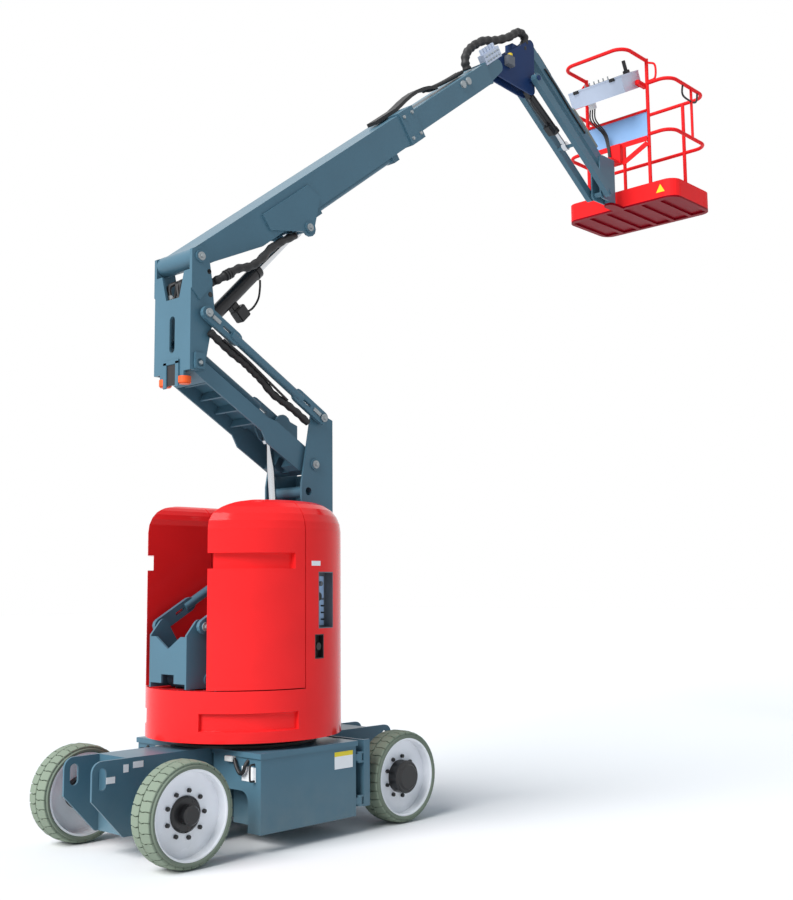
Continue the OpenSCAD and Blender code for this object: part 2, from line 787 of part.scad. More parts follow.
module mid_knuckle() {
    back = mid_low[0] + knuckle_back;
    color(grey_paint) {
        difference() {
            both_sides() slab(plate_in, plate_t) polygon(concat(
                arc(mid_low, knuckle_foot_r, 200, 360),
                [[back, mid_low[1]], [back, mid_link[1]]],
                arc(mid_link, knuckle_eye_r, 20, 160),
                [mid_arm - [knuckle_waist, waist_high], mid_arm - [knuckle_waist, waist_low],
                 mid_low + [-shin_set, shin_rise]]));
            cross_bar(mid_arm + [cross_tube_x, cross_tube_z], cross_tube_in_r, plate_in + plate_t + over);
        }
        difference() {
            cross_bar(mid_arm + [cross_tube_x, cross_tube_z], cross_tube_r, plate_in);
            cross_bar(mid_arm + [cross_tube_x, cross_tube_z], cross_tube_in_r, plate_in + over);
        }
        block([back - knuckle_web_t, -plate_in, mid_low[1] + knuckle_web_low],
            [back, plate_in, mid_low[1] + knuckle_web_top]);
        for (p = [mid_low, mid_arm]) {
            cross_bar(p, arm_pin_r, plate_in);
            both_sides() bar_y(p, bolt_head_r, plate_in + plate_t, bolt_head_t);
        }
        both_sides() for (p = [mid_link, mid_low_link])
            bar_y(p, link_pin_r, plate_in, link_y + link_plate_t / 2 + link_pin_end - plate_in);
    }
}
// Arm of the upper stage: a channel that is open below
module upper_arm() {
    color(grey_paint) falling(up_arm) {
        difference() {
            slab(-arm_half, 2 * arm_half) polygon(upper_outline());
            block([arm_tip + arm_slim_r, -arm_half + arm_wall, -arm_bottom - over],
                [arm_hump + arm_tip, arm_half - arm_wall, arm_slim - arm_wall]);
            block([arm_hump + arm_tip - over, -arm_half + arm_wall, -arm_bottom - over],
                [arm_l - arm_tip - arm_eye_r, arm_half - arm_wall, arm_top - arm_wall]);
            // Slot in the end block for the riser's rod when the arms are steep
            block([riser_top_at + riser_gap_l / 2, -rod_slot_w / 2, -arm_bottom - over],
                [rod_slot_end, rod_slot_w / 2, -rod_slot_top]);
            // Gap in the top plate for the eye of the riser's rod
            block([riser_top_at - riser_gap_l / 2, -riser_gap_w / 2, 0],
                [riser_top_at + riser_gap_l / 2, riser_gap_w / 2, arm_top + over]);
            cross_bar([0, 0], arm_pin_r + pin_fit, 2 * arm_half);
            cross_bar([arm_l, 0], arm_pin_r + pin_fit, 2 * arm_half);
        }
        both_sides() slab(riser_eye_w / 2 + 10 * slide_fit, riser_lug_t)
            polygon([[riser_top_at - riser_gap_l / 2 - over, arm_top - arm_wall],
                [riser_top_at + riser_gap_l / 2 + over, arm_top - arm_wall],
                [riser_top_at + riser_eye_r, 0], [riser_top_at - riser_eye_r, 0]]);
    }
}
// Upright between the riser and the boom, with the foot that docks on the turret
upright_face = 66;
upright_waist = 112;
upright_neck = 38;
upright_low = 45;
upright_web_top = 560;
window_low = 405;
window_w = 220;
window_low_w = 130;
slot_low = 75;
slot_h = 225;
slot_w = 52;
doubler_t = 10;
doubler_l = 265;
foot_w = 90;
foot_plate_low = 75;
foot_h = 112;
foot_d = 50;
bumper_r = 22;
bumper_h = 36;
bumper_y = 96;
bumper_plate_t = 14;
lift_base_set = 58;
lift_base_rise = 168;
lift_base = up_arm + [lift_base_set, lift_base_rise];
lift_pin_r = 22;
lift_eye_r = 40;
lift_eye_w = 90;

module upright() {
    x0 = up_arm[0] - upright_face;
    color(grey_paint) {
        both_sides() {
            slab(plate_in, plate_t) polygon(concat(
                [[x0, up_arm[1] - upright_low], [up_arm[0] + upright_neck, up_arm[1] - upright_low],
                 [up_arm[0] + upright_waist, up_arm[1] + upper_link_rise + upright_neck],
                 [boom_pivot[0] + upright_waist - over, boom_pivot[1] - upright_waist]],
                arc(boom_pivot, upright_face, 0, 90), [[x0, boom_pivot[1] + upright_neck]]));
            slab(plate_in + plate_t, doubler_t) polygon(concat(
                [[x0, boom_pivot[1] - doubler_l + upright_face], [boom_pivot[0], boom_pivot[1] - doubler_l],
                 [boom_pivot[0] + upright_waist - over, boom_pivot[1] - doubler_l + upright_waist]],
                arc(boom_pivot, upright_face, 0, 90), [[x0, boom_pivot[1] + upright_neck]]));
            bar_y(up_link, link_pin_r, plate_in, link_y + link_plate_t / 2 + link_pin_end - plate_in);
            bar_y(up_arm, bolt_head_r, plate_in + plate_t, bolt_head_t);
            bar_y(boom_pivot, bolt_head_r, plate_in + plate_t + doubler_t, bolt_head_t);
        }
        for (p = [up_arm, boom_pivot]) cross_bar(p, arm_pin_r, plate_in);
        cross_bar(lift_base, lift_pin_r, plate_in);
        difference() {
            translate([x0, 0, up_arm[1]]) rotate([90, 0, 90]) linear_extrude(plate_t) difference() {
                polygon([[-plate_in, -upright_low], [plate_in, -upright_low], [plate_in, upright_web_top],
                    [window_w / 2, upright_web_top], [window_low_w / 2, window_low],
                    [-window_low_w / 2, window_low], [-window_w / 2, upright_web_top],
                        [-plate_in, upright_web_top]]);
                polygon(strap([0, slot_low + slot_w / 2], [0, slot_low + slot_h - slot_w / 2], slot_w / 2));
            }
        }
        block([x0, -foot_w / 2, up_arm[1] - foot_h], [x0 + foot_d, foot_w / 2, up_arm[1] - foot_plate_low]);
        block([x0, -bumper_y - bumper_r, up_arm[1] - foot_plate_low],
            [x0 + foot_d, bumper_y + bumper_r, up_arm[1] - foot_plate_low + bumper_plate_t]);
        block([x0, -bumper_y - bumper_r, up_arm[1] - foot_plate_low],
            [x0 + plate_t, bumper_y + bumper_r, up_arm[1] - upright_low]);
    }
}
module bumpers() {
    color(bumper_orange) both_sides()
        translate([up_arm[0] - upright_face + foot_d / 2, bumper_y, up_arm[1] - foot_plate_low - bumper_h])
            rotate_extrude() polygon(concat([[0, bumper_h], [0, 0]],
                arc([bumper_r / 2, bumper_r / 2], bumper_r / 2, -90, 0), [[bumper_r, bumper_h]]));
}

// Cylinders: a barrel with an eye at its foot and a rod with an eye at its head
cyl_wall = 8;
cyl_cap = 30;
gland_l = 40;
gland_out = 5;
module cylinder_barrel(l, r, rod_r, eye_r, eye_w, hole_r) {
    difference() {
        union() {
            translate([eye_r + cyl_cap - cyl_wall, 0, 0]) rotate([0, 90, 0])
                cylinder(r = r, h = l - eye_r - cyl_cap + cyl_wall);
            translate([l - gland_l, 0, 0]) rotate([0, 90, 0]) cylinder(r = r + gland_out, h = gland_l);
            slab(-eye_w / 2, eye_w) polygon(concat([[eye_r + cyl_cap, -eye_r], [eye_r + cyl_cap, eye_r]],
                arc([0, 0], eye_r, 90, 270)));
        }
        translate([eye_r + cyl_cap, 0, 0]) rotate([0, 90, 0]) cylinder(r = rod_r + pin_fit, h = l);
        cross_bar([0, 0], hole_r + pin_fit, eye_w);
    }
}
module cylinder_rod(from, l, rod_r, eye_r, eye_w, pin_r, pin_y) {
    translate([from, 0, 0]) rotate([0, 90, 0]) cylinder(r = rod_r, h = l - from - eye_r / 2);
    slab(-eye_w / 2, eye_w) polygon(concat([[l - 1.6 * eye_r, -rod_r], [l - eye_r, -eye_r]],
        arc([l, 0], eye_r, -90, 90), [[l - eye_r, eye_r], [l - 1.6 * eye_r, rod_r]]));
    cross_bar([l, 0], pin_r, pin_y);
}
// Frame whose X axis runs from the point a to the point b of the XZ plane
module between(a, b) {
    translate([a[0], 0, a[1]]) rotate([0, -atan2(b[1] - a[1], b[0] - a[0]), 0]) children();
}
riser_low = foot + along(riser_low_at, riser_angle);
riser_top = up_arm + along(riser_top_at, -riser_angle) + along(riser_top_up, 90 - riser_angle);
riser_r = 40;
riser_rod_r = 24;
riser_barrel_l = 640;
riser_rod_in = 420;
module riser_barrel() {
    color(black_steel) between(riser_low, riser_top)
        cylinder_barrel(riser_barrel_l, riser_r, riser_rod_r, riser_eye_r, riser_eye_w, riser_pin_r);
}
module riser_rod() {
    color(chrome_steel) between(riser_low, riser_top)
        cylinder_rod(riser_rod_in, norm(riser_top - riser_low), riser_rod_r, riser_eye_r, riser_eye_w,
            riser_pin_r, riser_eye_w / 2 + 4 * slide_fit);
}

// Boom
boom_below = 57;
root_r = 62;
knee_u = 526;
root_u = 120;
root_n = 80;
boom_lug_u = 958;
boom_lug_n = 240;
rod_gap_from = 870;
rod_gap_l = 260;
rod_gap_w = 116;
lug_r = 58;
lug_t = 14;
doubler_from = 640;
doubler_to = 1180;
collar_l = 175;
collar_t = 12;
fly_tail = 1225;
tail_pad_l = 120;
fly_t = 7;
fly_pivot_u = 205;
fork_y = 70;
fork_t = 16;
fork_r = 56;
feed_r = 24;
feed_n = 30;
feed_from = 1180;
feed_to = 2230;
feed_end_r = 36;
feed_end_l = 70;
lift_r = 45;
lift_rod_r = 27;
lift_barrel_l = 760;
lift_rod_in = 362;

module at_boom() {
    translate([boom_pivot[0], 0, boom_pivot[1]]) rotate([0, -boom_angle, 0]) children();
}
function from_boom(u, n) = boom_pivot + along(u, boom_angle) + along(n, boom_angle + 90);
lift_head = from_boom(boom_lug_u, -boom_lug_n);
boom_up = boom_h / 2 - boom_below;
boom_dn = boom_h / 2 + boom_below;
fly_up = fly_h / 2 - boom_below;
fly_dn = fly_h / 2 + boom_below;

module boom_outer() {
    half = boom_w / 2;
    color(grey_paint) at_boom() {
        difference() {
            union() {
                slab(-half, boom_w) polygon(concat(arc([0, 0], root_r, 90, 250),
                    [[root_u, -root_n], [knee_u, -boom_dn], [boom_l - over, -boom_dn],
                        [boom_l - over, boom_up], [0, boom_up]]));
                block([boom_l - collar_l, -half - collar_t, -boom_dn - collar_t],
                    [boom_l, half + collar_t, boom_up + collar_t]);
                cross_bar([0, 0], root_r, plate_in - slide_fit);
            }
            block([root_u, -half + boom_t, -root_n + boom_t], [knee_u, half - boom_t, boom_up - boom_t]);
            block([knee_u - over, -half + boom_t, -boom_dn + boom_t],
                [boom_l - collar_l, half - boom_t, boom_up - boom_t]);
            block([boom_l - collar_l - over, -fly_w / 2 - slide_fit, -fly_dn - slide_fit],
                [boom_l + over, fly_w / 2 + slide_fit, fly_up + slide_fit]);
            cross_bar([0, 0], arm_pin_r + pin_fit, plate_in + over);
            // Gap over the eye of the lift rod
            block([rod_gap_from, -rod_gap_w / 2, -boom_dn - over],
                [rod_gap_from + rod_gap_l, rod_gap_w / 2, -boom_dn + 2 * over]);
        }
        both_sides() {
            bar_y([boom_lug_u, -boom_lug_n], lift_pin_r, rod_gap_w / 2, half - rod_gap_w / 2);
            slab(half, lug_t) polygon(concat([[doubler_from, -boom_dn + lug_r],
                [boom_lug_u - lug_r, -boom_lug_n]],
                arc([boom_lug_u, -boom_lug_n], lug_r, 180, 350),
                [[doubler_to, -boom_dn + lug_r], [doubler_to - lug_r, boom_up - lug_r],
                    [doubler_from, boom_up - lug_r]]));
            bar_y([boom_lug_u, -boom_lug_n], bolt_head_r, half + lug_t, bolt_head_t);
        }
        translate([feed_from, 0, -boom_dn - feed_n]) rotate([0, 90, 0])
            cylinder(r = feed_r, h = feed_to - feed_from);
        for (u = [feed_from, feed_to - feed_end_l])
            block([u, -feed_end_r, -boom_dn - feed_n - feed_end_r], [u + feed_end_l, feed_end_r, -boom_dn]);
    }
}
module lift_barrel() {
    color(black_steel) between(lift_base, lift_head)
        cylinder_barrel(lift_barrel_l, lift_r, lift_rod_r, lift_eye_r, lift_eye_w, lift_pin_r);
}
module lift_rod() {
    color(chrome_steel) between(lift_base, lift_head)
        cylinder_rod(lift_rod_in, norm(lift_head - lift_base), lift_rod_r, lift_eye_r * 0.85, lift_eye_w,
            lift_pin_r, lift_eye_w / 2 + 4 * slide_fit);
}
fly_end = boom_l + fly_out;
fly_pivot_at = fly_end + fly_pivot_u;
fly_plate_t = 14;
pad_h = 38;
pad_t = 6;
module fly() {
    color(grey_paint) at_boom() {
        difference() {
            union() {
                block([fly_tail, -fly_w / 2, -fly_dn], [fly_end - fly_plate_t, fly_w / 2, fly_up]);
                block([fly_tail, -boom_w / 2 + boom_t + slide_fit, -boom_dn + boom_t + slide_fit],
                    [fly_tail + tail_pad_l, boom_w / 2 - boom_t - slide_fit, boom_up - boom_t - slide_fit]);
            }
            block([fly_tail - over, -fly_w / 2 + fly_t, -fly_dn + fly_t],
                [fly_end, fly_w / 2 - fly_t, fly_up - fly_t]);
            // The tail pads leave room for the eye of the lift rod
            block([fly_tail - over, -rod_gap_w / 2, -boom_dn],
                [fly_tail + tail_pad_l + over, rod_gap_w / 2, -fly_dn]);
        }
        block([fly_end - fly_plate_t, -fly_w / 2, -fly_dn - pad_t], [fly_end, fly_w / 2, fly_up + pad_t]);
        both_sides() slab(fork_y, fork_t) polygon(concat(
            [[fly_end - fly_plate_t, fly_up - pad_h], [fly_end - fly_plate_t, -fly_dn]],
                arc([fly_pivot_at, -boom_below], fork_r, -90, 90)));
        cross_bar([fly_pivot_at, -boom_below], arm_pin_r, fork_y);
    }
}
// Hose carrier: seated on the boom's collar, arched over the fly section
track_w = 90;
track_t = 26;
track_back = 320;
track_from = boom_l - track_back;
track_l = 840;
track_u_shares = [0, 0.32, 0.42, 0.5, 0.6, 0.7, 0.8, 0.88, 0.95, 1];
track_rise = 30;
track_n_shares = [0, 0, 0.35, 0.68, 0.95, 1, 0.75, 0.3, -0.35, -0.85];
function track_points(out) = [for (i = [0:len(track_u_shares) - 1])
    [track_from + track_u_shares[i] * track_l,
     boom_up + collar_t + seat_gap + out + track_n_shares[i] * track_rise]];
function reversed(list) = [for (i = [len(list) - 1:-1:0]) list[i]];
module hose_track() {
    color(black_steel) at_boom() slab(-track_w / 2, track_w)
        polygon(concat(track_points(0), reversed(track_points(track_t))));
}

// Jib
fly_pivot = from_boom(fly_pivot_at, -boom_below);
jib_set = 496;
jib_lift = 46;
jib_low = fly_pivot + [jib_set, jib_lift];
jib_high = jib_low + [0, jib_rise];
jib_pin_r = 22;
jib_eye_r = 46;
tip_plate_t = 14;
tip_plate_y = fork_y - fork_t - 2;
jib_arm_in = 76;
jib_arm_w = 50;
jib_arm_h = 80;
jib_link_h = 88;
jib_wall = 6;
jib_cyl_set = 0;
jib_cyl_drop = 80;
jib_cyl_at = 700;
jib_cyl_low = 25;
jib_base = jib_low + [jib_cyl_set, -jib_cyl_drop];
jib_head = jib_low + along(jib_cyl_at, -jib_drop) + along(-jib_cyl_low, 90 - jib_drop);
platform_low_pivot = jib_low + along(jib_l, -jib_drop);
platform_high_pivot = platform_low_pivot + [0, jib_rise];
jib_cyl_r = 32;
jib_rod_r = 18;
jib_barrel_l = 480;
jib_rod_in = 120;
jib_cyl_eye_r = 30;
jib_cyl_eye_w = 44;
jib_cyl_pin_r = 16;
tip_tube_r = 60;

module dropping(p) {
    translate([p[0], 0, p[1]]) rotate([0, jib_drop, 0]) children();
}
// Knuckle at the end of the fly section that carries the jib
module jib_knuckle() {
    inner = tip_plate_y - tip_plate_t;
    color(grey_paint) {
        both_sides() difference() {
            slab(inner, tip_plate_t) polygon(concat(arc(fly_pivot, fork_r, 120, 260),
                [jib_base + [-jib_eye_r, -jib_eye_r]], arc(jib_base, jib_eye_r, 270, 350),
                arc(jib_low, jib_eye_r, -20, 20), arc(jib_high, jib_eye_r, -10, 150)));
            cross_bar(fly_pivot, arm_pin_r + pin_fit, boom_w);
        }
        for (p = [jib_high, jib_base]) cross_bar(p, jib_pin_r, inner);
        both_sides() bar_y(jib_low, jib_pin_r, inner, jib_arm_in + jib_arm_w + link_pin_end - inner);
        block([jib_low[0] - 4 * tip_tube_r, -inner, jib_low[1] + tip_tube_r],
            [jib_low[0] - 2 * tip_tube_r, inner, jib_high[1] - tip_tube_r]);
    }
}
valve_l = 160;
valve_w = 120;
valve_h = 92;
module valve_block() {
    color(chrome_steel) at_boom() block([fly_end - fly_plate_t - valve_l - seat_gap, -valve_w / 2,
        fly_up + seat_gap],
        [fly_end - fly_plate_t - seat_gap, valve_w / 2, fly_up + valve_h]);
}
// Two lower jib arms joined by tubes
module jib_arms() {
    color(grey_paint) dropping(jib_low) {
        both_sides() difference() {
            union() {
                slab(jib_arm_in, jib_arm_w) polygon(concat(arc([0, 0], jib_arm_h / 2, 90, 270),
                    arc([jib_l, 0], jib_arm_h / 2, -90, 90)));
            }
            block([jib_arm_h, jib_arm_in + jib_wall, -jib_arm_h / 2 + jib_wall],
                [jib_l - jib_arm_h, jib_arm_in + jib_arm_w - jib_wall, jib_arm_h / 2 - jib_wall]);
            for (x = [0, jib_l]) cross_bar([x, 0], jib_pin_r + pin_fit, boom_w);
        }
        for (y = [-1, 1]) bar_y([jib_cyl_at, -jib_cyl_low], jib_cyl_pin_r,
            y > 0 ? jib_cyl_eye_w / 2 + 4 * slide_fit : -jib_arm_in,
            jib_arm_in - jib_cyl_eye_w / 2 - 4 * slide_fit);
    }
}
module jib_link() {
    color(grey_paint) dropping(jib_high) difference() {
        slab(-tip_plate_y + tip_plate_t + slide_fit, 2 * (tip_plate_y - tip_plate_t - slide_fit))
            polygon(concat(arc([0, 0], jib_link_h / 2, 90, 270), arc([jib_l, 0], jib_link_h / 2, -90, 90)));
        for (x = [0, jib_l]) cross_bar([x, 0], jib_pin_r + pin_fit, boom_w);
    }
}
module jib_barrel() {
    color(black_steel) between(jib_base, jib_head)
        cylinder_barrel(jib_barrel_l, jib_cyl_r, jib_rod_r, jib_cyl_eye_r, jib_cyl_eye_w, jib_pin_r);
}
module jib_rod() {
    color(chrome_steel) between(jib_base, jib_head)
        cylinder_rod(jib_rod_in, norm(jib_head - jib_base), jib_rod_r, jib_cyl_eye_r, jib_cyl_eye_w,
            jib_cyl_pin_r, jib_cyl_eye_w / 2 + slide_fit);
}
// Bracket that carries the platform at the lower end of the jib
rotor_set = 180;
rotor_r = 52;
rotor_pin_r = 24;
rotor_x = platform_low_pivot[0] + rotor_set;
rotor_low = platform_low_pivot[1] - jib_eye_r;
rotor_high = platform_high_pivot[1] + jib_eye_r;
module jib_bracket() {
    inner = tip_plate_y - tip_plate_t;
    color(grey_paint) {
        both_sides() slab(inner, tip_plate_t) polygon(concat(
            arc(platform_low_pivot, jib_eye_r, 180, 270), [[rotor_x, rotor_low], [rotor_x, rotor_high]],
            arc(platform_high_pivot, jib_eye_r, 90, 180)));
        for (p = [platform_low_pivot, platform_high_pivot]) cross_bar(p, jib_pin_r, inner);
        both_sides() bar_y(platform_low_pivot, jib_pin_r, inner,
            jib_arm_in + jib_arm_w + link_pin_end - inner);
        difference() {
            translate([rotor_x, 0, rotor_low]) cylinder(r = rotor_r, h = rotor_high - rotor_low);
            translate([rotor_x, 0, rotor_low - over])
                cylinder(r = rotor_pin_r + pin_fit, h = rotor_high - rotor_low + 2 * over);
        }
    }
}

// Platform
platform_set = 152;
platform_drop = 61;
platform_x = rotor_x + platform_set;
platform_low = platform_low_pivot[1] - platform_drop;
floor_up = 16;
floor_t = 6;
toe_t = 5;
corner_r = 110;
rib_w = 40;
rib_count = 5;
column_w = 130;
column_h = 585;
column_d = 58;
ear_t = 22;
rail_r = rail_d / 2;
rail_bend_r = 120;
mid_rail_share = 0.56;
post_y = 330;
post_foot = 12;
short_post_at = 400;
short_post_r = 13;
box_rail_rise = 220;
box_rail_out = 390;
floor_top = platform_low + floor_up + floor_t;

module platform_floor() {
    x0 = platform_x;
    x1 = platform_x + platform_d;
    h = platform_l / 2;
    ear_l = platform_x + toe_t - rotor_x;
    color(red_paint) {
        difference() {
            translate([0, 0, platform_low]) linear_extrude(toe_h)
                polygon(round_box([x0, -h], [x1, h], corner_r));
            translate([0, 0, floor_top]) linear_extrude(toe_h)
                polygon(round_box([x0 + toe_t, -h + toe_t], [x1 - toe_t, h - toe_t], corner_r - toe_t));
            for (i = [0:rib_count]) {
                pitch = (platform_l - rib_w) / (rib_count + 1);
                y = -h + rib_w + i * pitch;
                inset = (i == 0 || i == rib_count) ? corner_r / 2 : rib_w;
                block([x0 + inset, y, platform_low - over],
                    [x1 - inset, y + pitch - rib_w, platform_low + floor_up]);
            }
        }
        // Column with the two ears that turn on the bracket
        block([x0 - column_d, -column_w / 2, rotor_high + seat_gap],
            [x0, column_w / 2, floor_top + column_h]);
        for (low = [rotor_low - ear_t - seat_gap, rotor_high + seat_gap])
            translate([rotor_x, 0, low]) linear_extrude(ear_t)
                polygon(concat([[ear_l, -rotor_r], [ear_l, rotor_r]],
                    arc([0, 0], rotor_r, 90, 270)));
        translate([rotor_x, 0, rotor_low - seat_gap - ear_t / 2])
            cylinder(r = rotor_pin_r, h = rotor_high - rotor_low + 2 * seat_gap + ear_t);
    }
}
// Quarter bend of a rail tube in a level plane, about c from angle a
module rail_bend(c, z, a) {
    translate([c[0], c[1], z]) rotate([0, 0, a]) rotate_extrude(angle = 90)
        translate([rail_bend_r, 0]) circle(r = rail_r);
}
// Rail round three sides of the platform, from one gate post to the other
module rail_loop(z) {
    x0 = platform_x + rail_r;
    x1 = platform_x + platform_d - rail_r;
    h = platform_l / 2 - rail_r;
    in_y = h - rail_bend_r;
    rail_bend([x1 - rail_bend_r, in_y], z, 0);
    rail_bend([x0 + rail_bend_r, in_y], z, 90);
    rail_bend([x0 + rail_bend_r, -in_y], z, 180);
    rail_bend([x1 - rail_bend_r, -in_y], z, 270);
    both_sides() {
        rod([x0, post_y, z], [x0, in_y, z], rail_r);
        rod([x0 + rail_bend_r, h, z], [x1 - rail_bend_r, h, z], rail_r);
    }
    rod([x1, -in_y, z], [x1, in_y, z], rail_r);
}
module guard_rails() {
    x0 = platform_x + rail_r;
    x1 = platform_x + platform_d - rail_r - toe_t;
    top = floor_top + rail_h;
    mid = floor_top + mid_rail_share * rail_h;
    high = top + box_rail_rise;
    out_x = x0 - box_rail_out;
    color(red_paint) {
        for (z = [top, mid]) rail_loop(z);
        both_sides() {
            rod([x0 + toe_t, post_y, floor_top + post_foot], [x0 + toe_t, post_y, high + rail_r], rail_r);
            rod([x1, post_y, floor_top + post_foot], [x1, post_y, top], rail_r);
            rod([platform_x + short_post_at, platform_l / 2 - rail_r, mid],
                [platform_x + short_post_at, platform_l / 2 - rail_r, top], short_post_r);
            block([x0 - box_arm_l, box_w / 2 + seat_gap, floor_top + box_arm_z],
                [x0 + rail_r, post_y - rail_r / 2, floor_top + box_arm_z + box_arm_h]);
            rod([out_x + rail_bend_r, post_y, high], [x0, post_y, high], rail_r);
        }
        rail_bend([out_x + rail_bend_r, post_y - rail_bend_r], high, 90);
        rail_bend([out_x + rail_bend_r, rail_bend_r - post_y], high, 180);
        rod([out_x, rail_bend_r - post_y, high], [out_x, post_y - rail_bend_r, high], rail_r);
    }
}
box_arm_l = 130;
box_arm_z = 1070;
box_arm_h = 40;
box_w = 570;
box_d = 340;
box_h = 150;
box_tilt = 27;
box_x = -290;
box_z = 940;
module control_box() {
    color(chrome_steel) translate([platform_x + box_x, 0, floor_top + box_z]) rotate([0, -box_tilt, 0])
        block([0, -box_w / 2, 0], [box_d, box_w / 2, box_h]);
}
sheet_t = 4;
sheet_low = 588;
sheet_h = 256;
module platform_panel() {
    color(grey_paint) block([platform_x - sheet_t, -post_y, floor_top + sheet_low],
        [platform_x, post_y, floor_top + sheet_low + sheet_h]);
}

chassis_frame();
steer_axle();
drive_axle();
slew_ring();
knuckle(1);  // knuckle_left
knuckle(-1);  // knuckle_right
tie_rod();
tyre(-1, 1);  // tyre_steer_left
tyre(-1, -1);  // tyre_steer_right
tyre(1, 1);  // tyre_drive_left
tyre(1, -1);  // tyre_drive_right
steer_wheel(1);  // wheel_steer_left
steer_wheel(-1);  // wheel_steer_right
drive_wheel(1);  // wheel_drive_left
drive_wheel(-1);  // wheel_drive_right
tray(1);  // tray_left
tray(-1);  // tray_right
tray_lid(1);  // tray_lid_left
tray_lid(-1);  // tray_lid_right
battery(1);  // battery_left
battery(-1);  // battery_right
turret_frame();
counterweight();
rear_cover(1);  // rear_cover_left
rear_cover(-1);  // rear_cover_right
hood(1);  // hood_left
hood(-1);  // hood_right
ground_controls();
hood_latches();
lower_arm();
lower_links();
mid_knuckle();
upper_arm();
upper_links();
upright();
bumpers();
riser_barrel();
riser_rod();
boom_outer();
lift_barrel();
lift_rod();
fly();
hose_track();
jib_knuckle();
valve_block();
jib_arms();
jib_link();
jib_barrel();
jib_rod();
jib_bracket();
platform_floor();
guard_rails();
control_box();
platform_panel();
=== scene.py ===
import math

import bmesh
import bpy
from mathutils import Euler, Matrix, Vector


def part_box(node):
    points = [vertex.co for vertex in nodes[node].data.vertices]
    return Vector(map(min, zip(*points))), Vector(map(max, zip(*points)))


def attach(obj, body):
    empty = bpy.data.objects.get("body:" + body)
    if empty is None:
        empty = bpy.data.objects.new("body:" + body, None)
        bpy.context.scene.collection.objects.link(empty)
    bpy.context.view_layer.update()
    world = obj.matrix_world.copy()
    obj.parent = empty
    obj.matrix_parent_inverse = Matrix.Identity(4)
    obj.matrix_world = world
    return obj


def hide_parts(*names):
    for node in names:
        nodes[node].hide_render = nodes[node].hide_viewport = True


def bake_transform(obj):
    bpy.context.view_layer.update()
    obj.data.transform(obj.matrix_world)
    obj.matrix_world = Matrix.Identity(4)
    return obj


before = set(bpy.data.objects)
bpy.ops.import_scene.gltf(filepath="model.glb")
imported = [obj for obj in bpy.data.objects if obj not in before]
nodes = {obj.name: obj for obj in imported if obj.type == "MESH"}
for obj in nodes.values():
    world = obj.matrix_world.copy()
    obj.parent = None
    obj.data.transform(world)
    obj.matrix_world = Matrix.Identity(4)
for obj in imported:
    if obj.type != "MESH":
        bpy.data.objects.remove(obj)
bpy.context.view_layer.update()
scene = bpy.context.scene

# The view: a long-lens camera near the ground at the steered end, looking up along the
# machine at its right side, so that the whole lift stands in an upright frame.
camera_place = Vector((-4.6507, -5.6552, 1.4445))
camera_tilt, camera_turn, camera_roll = (math.radians(a) for a in (96.814, -46.859, -0.512))
camera_lens, camera_sensor, camera_far = 46.57, 36.0, 200.0

camera_data = bpy.data.cameras.new("view")
camera_data.lens = camera_lens
camera_data.sensor_width = camera_sensor
camera_data.clip_end = camera_far
camera = bpy.data.objects.new("view", camera_data)
scene.collection.objects.link(camera)
camera.matrix_world = Matrix.Translation(camera_place) @ (
    Euler((camera_tilt, 0, camera_turn)).to_matrix().to_4x4() @ Matrix.Rotation(camera_roll, 4, "Z"))
scene.camera = camera

# The studio: a pale seamless floor, a broad soft key light from the steered end, and an
# even sky that fills the shaded faces.
floor_reach, floor_level, floor_rough = 60.0, 0.82, 0.9
sky_colour, sky_level = (0.72, 0.86, 1.0), 0.44
key_strength, key_spread, key_from = 4.4, math.radians(42), Vector((-0.77, 0.02, 0.64))


def make_material(name):
    """An empty material with its shader and Object coordinates."""
    mat = bpy.data.materials.new(name)
    mat.use_nodes = True
    mat.node_tree.nodes.clear()
    out = mat.node_tree.nodes.new("ShaderNodeOutputMaterial")
    shader = mat.node_tree.nodes.new("ShaderNodeBsdfPrincipled")
    mat.node_tree.links.new(shader.outputs["BSDF"], out.inputs["Surface"])
    coord = mat.node_tree.nodes.new("ShaderNodeTexCoord")
    return mat, mat.node_tree, shader, coord.outputs["Object"]


def math_node(tree, operation, *values):
    """A Math node with each value set or linked; returns its output."""
    node = tree.nodes.new("ShaderNodeMath")
    node.operation = operation
    for socket, value in zip(node.inputs, values):
        if isinstance(value, bpy.types.NodeSocket):
            tree.links.new(value, socket)
        else:
            socket.default_value = value
    return node.outputs[0]


floor_mesh = bpy.data.meshes.new("studio_floor")
floor_mesh.from_pydata([(-floor_reach, -floor_reach, 0), (floor_reach, -floor_reach, 0),
                        (floor_reach, floor_reach, 0), (-floor_reach, floor_reach, 0)], [], [(0, 1, 2, 3)])
floor = bpy.data.objects.new("studio_floor", floor_mesh)
scene.collection.objects.link(floor)
floor_mat, _, floor_shader, _ = make_material("studio_floor")
floor_shader.inputs["Base Color"].default_value = (floor_level, floor_level, floor_level, 1)
floor_shader.inputs["Roughness"].default_value = floor_rough
floor_mesh.materials.append(floor_mat)

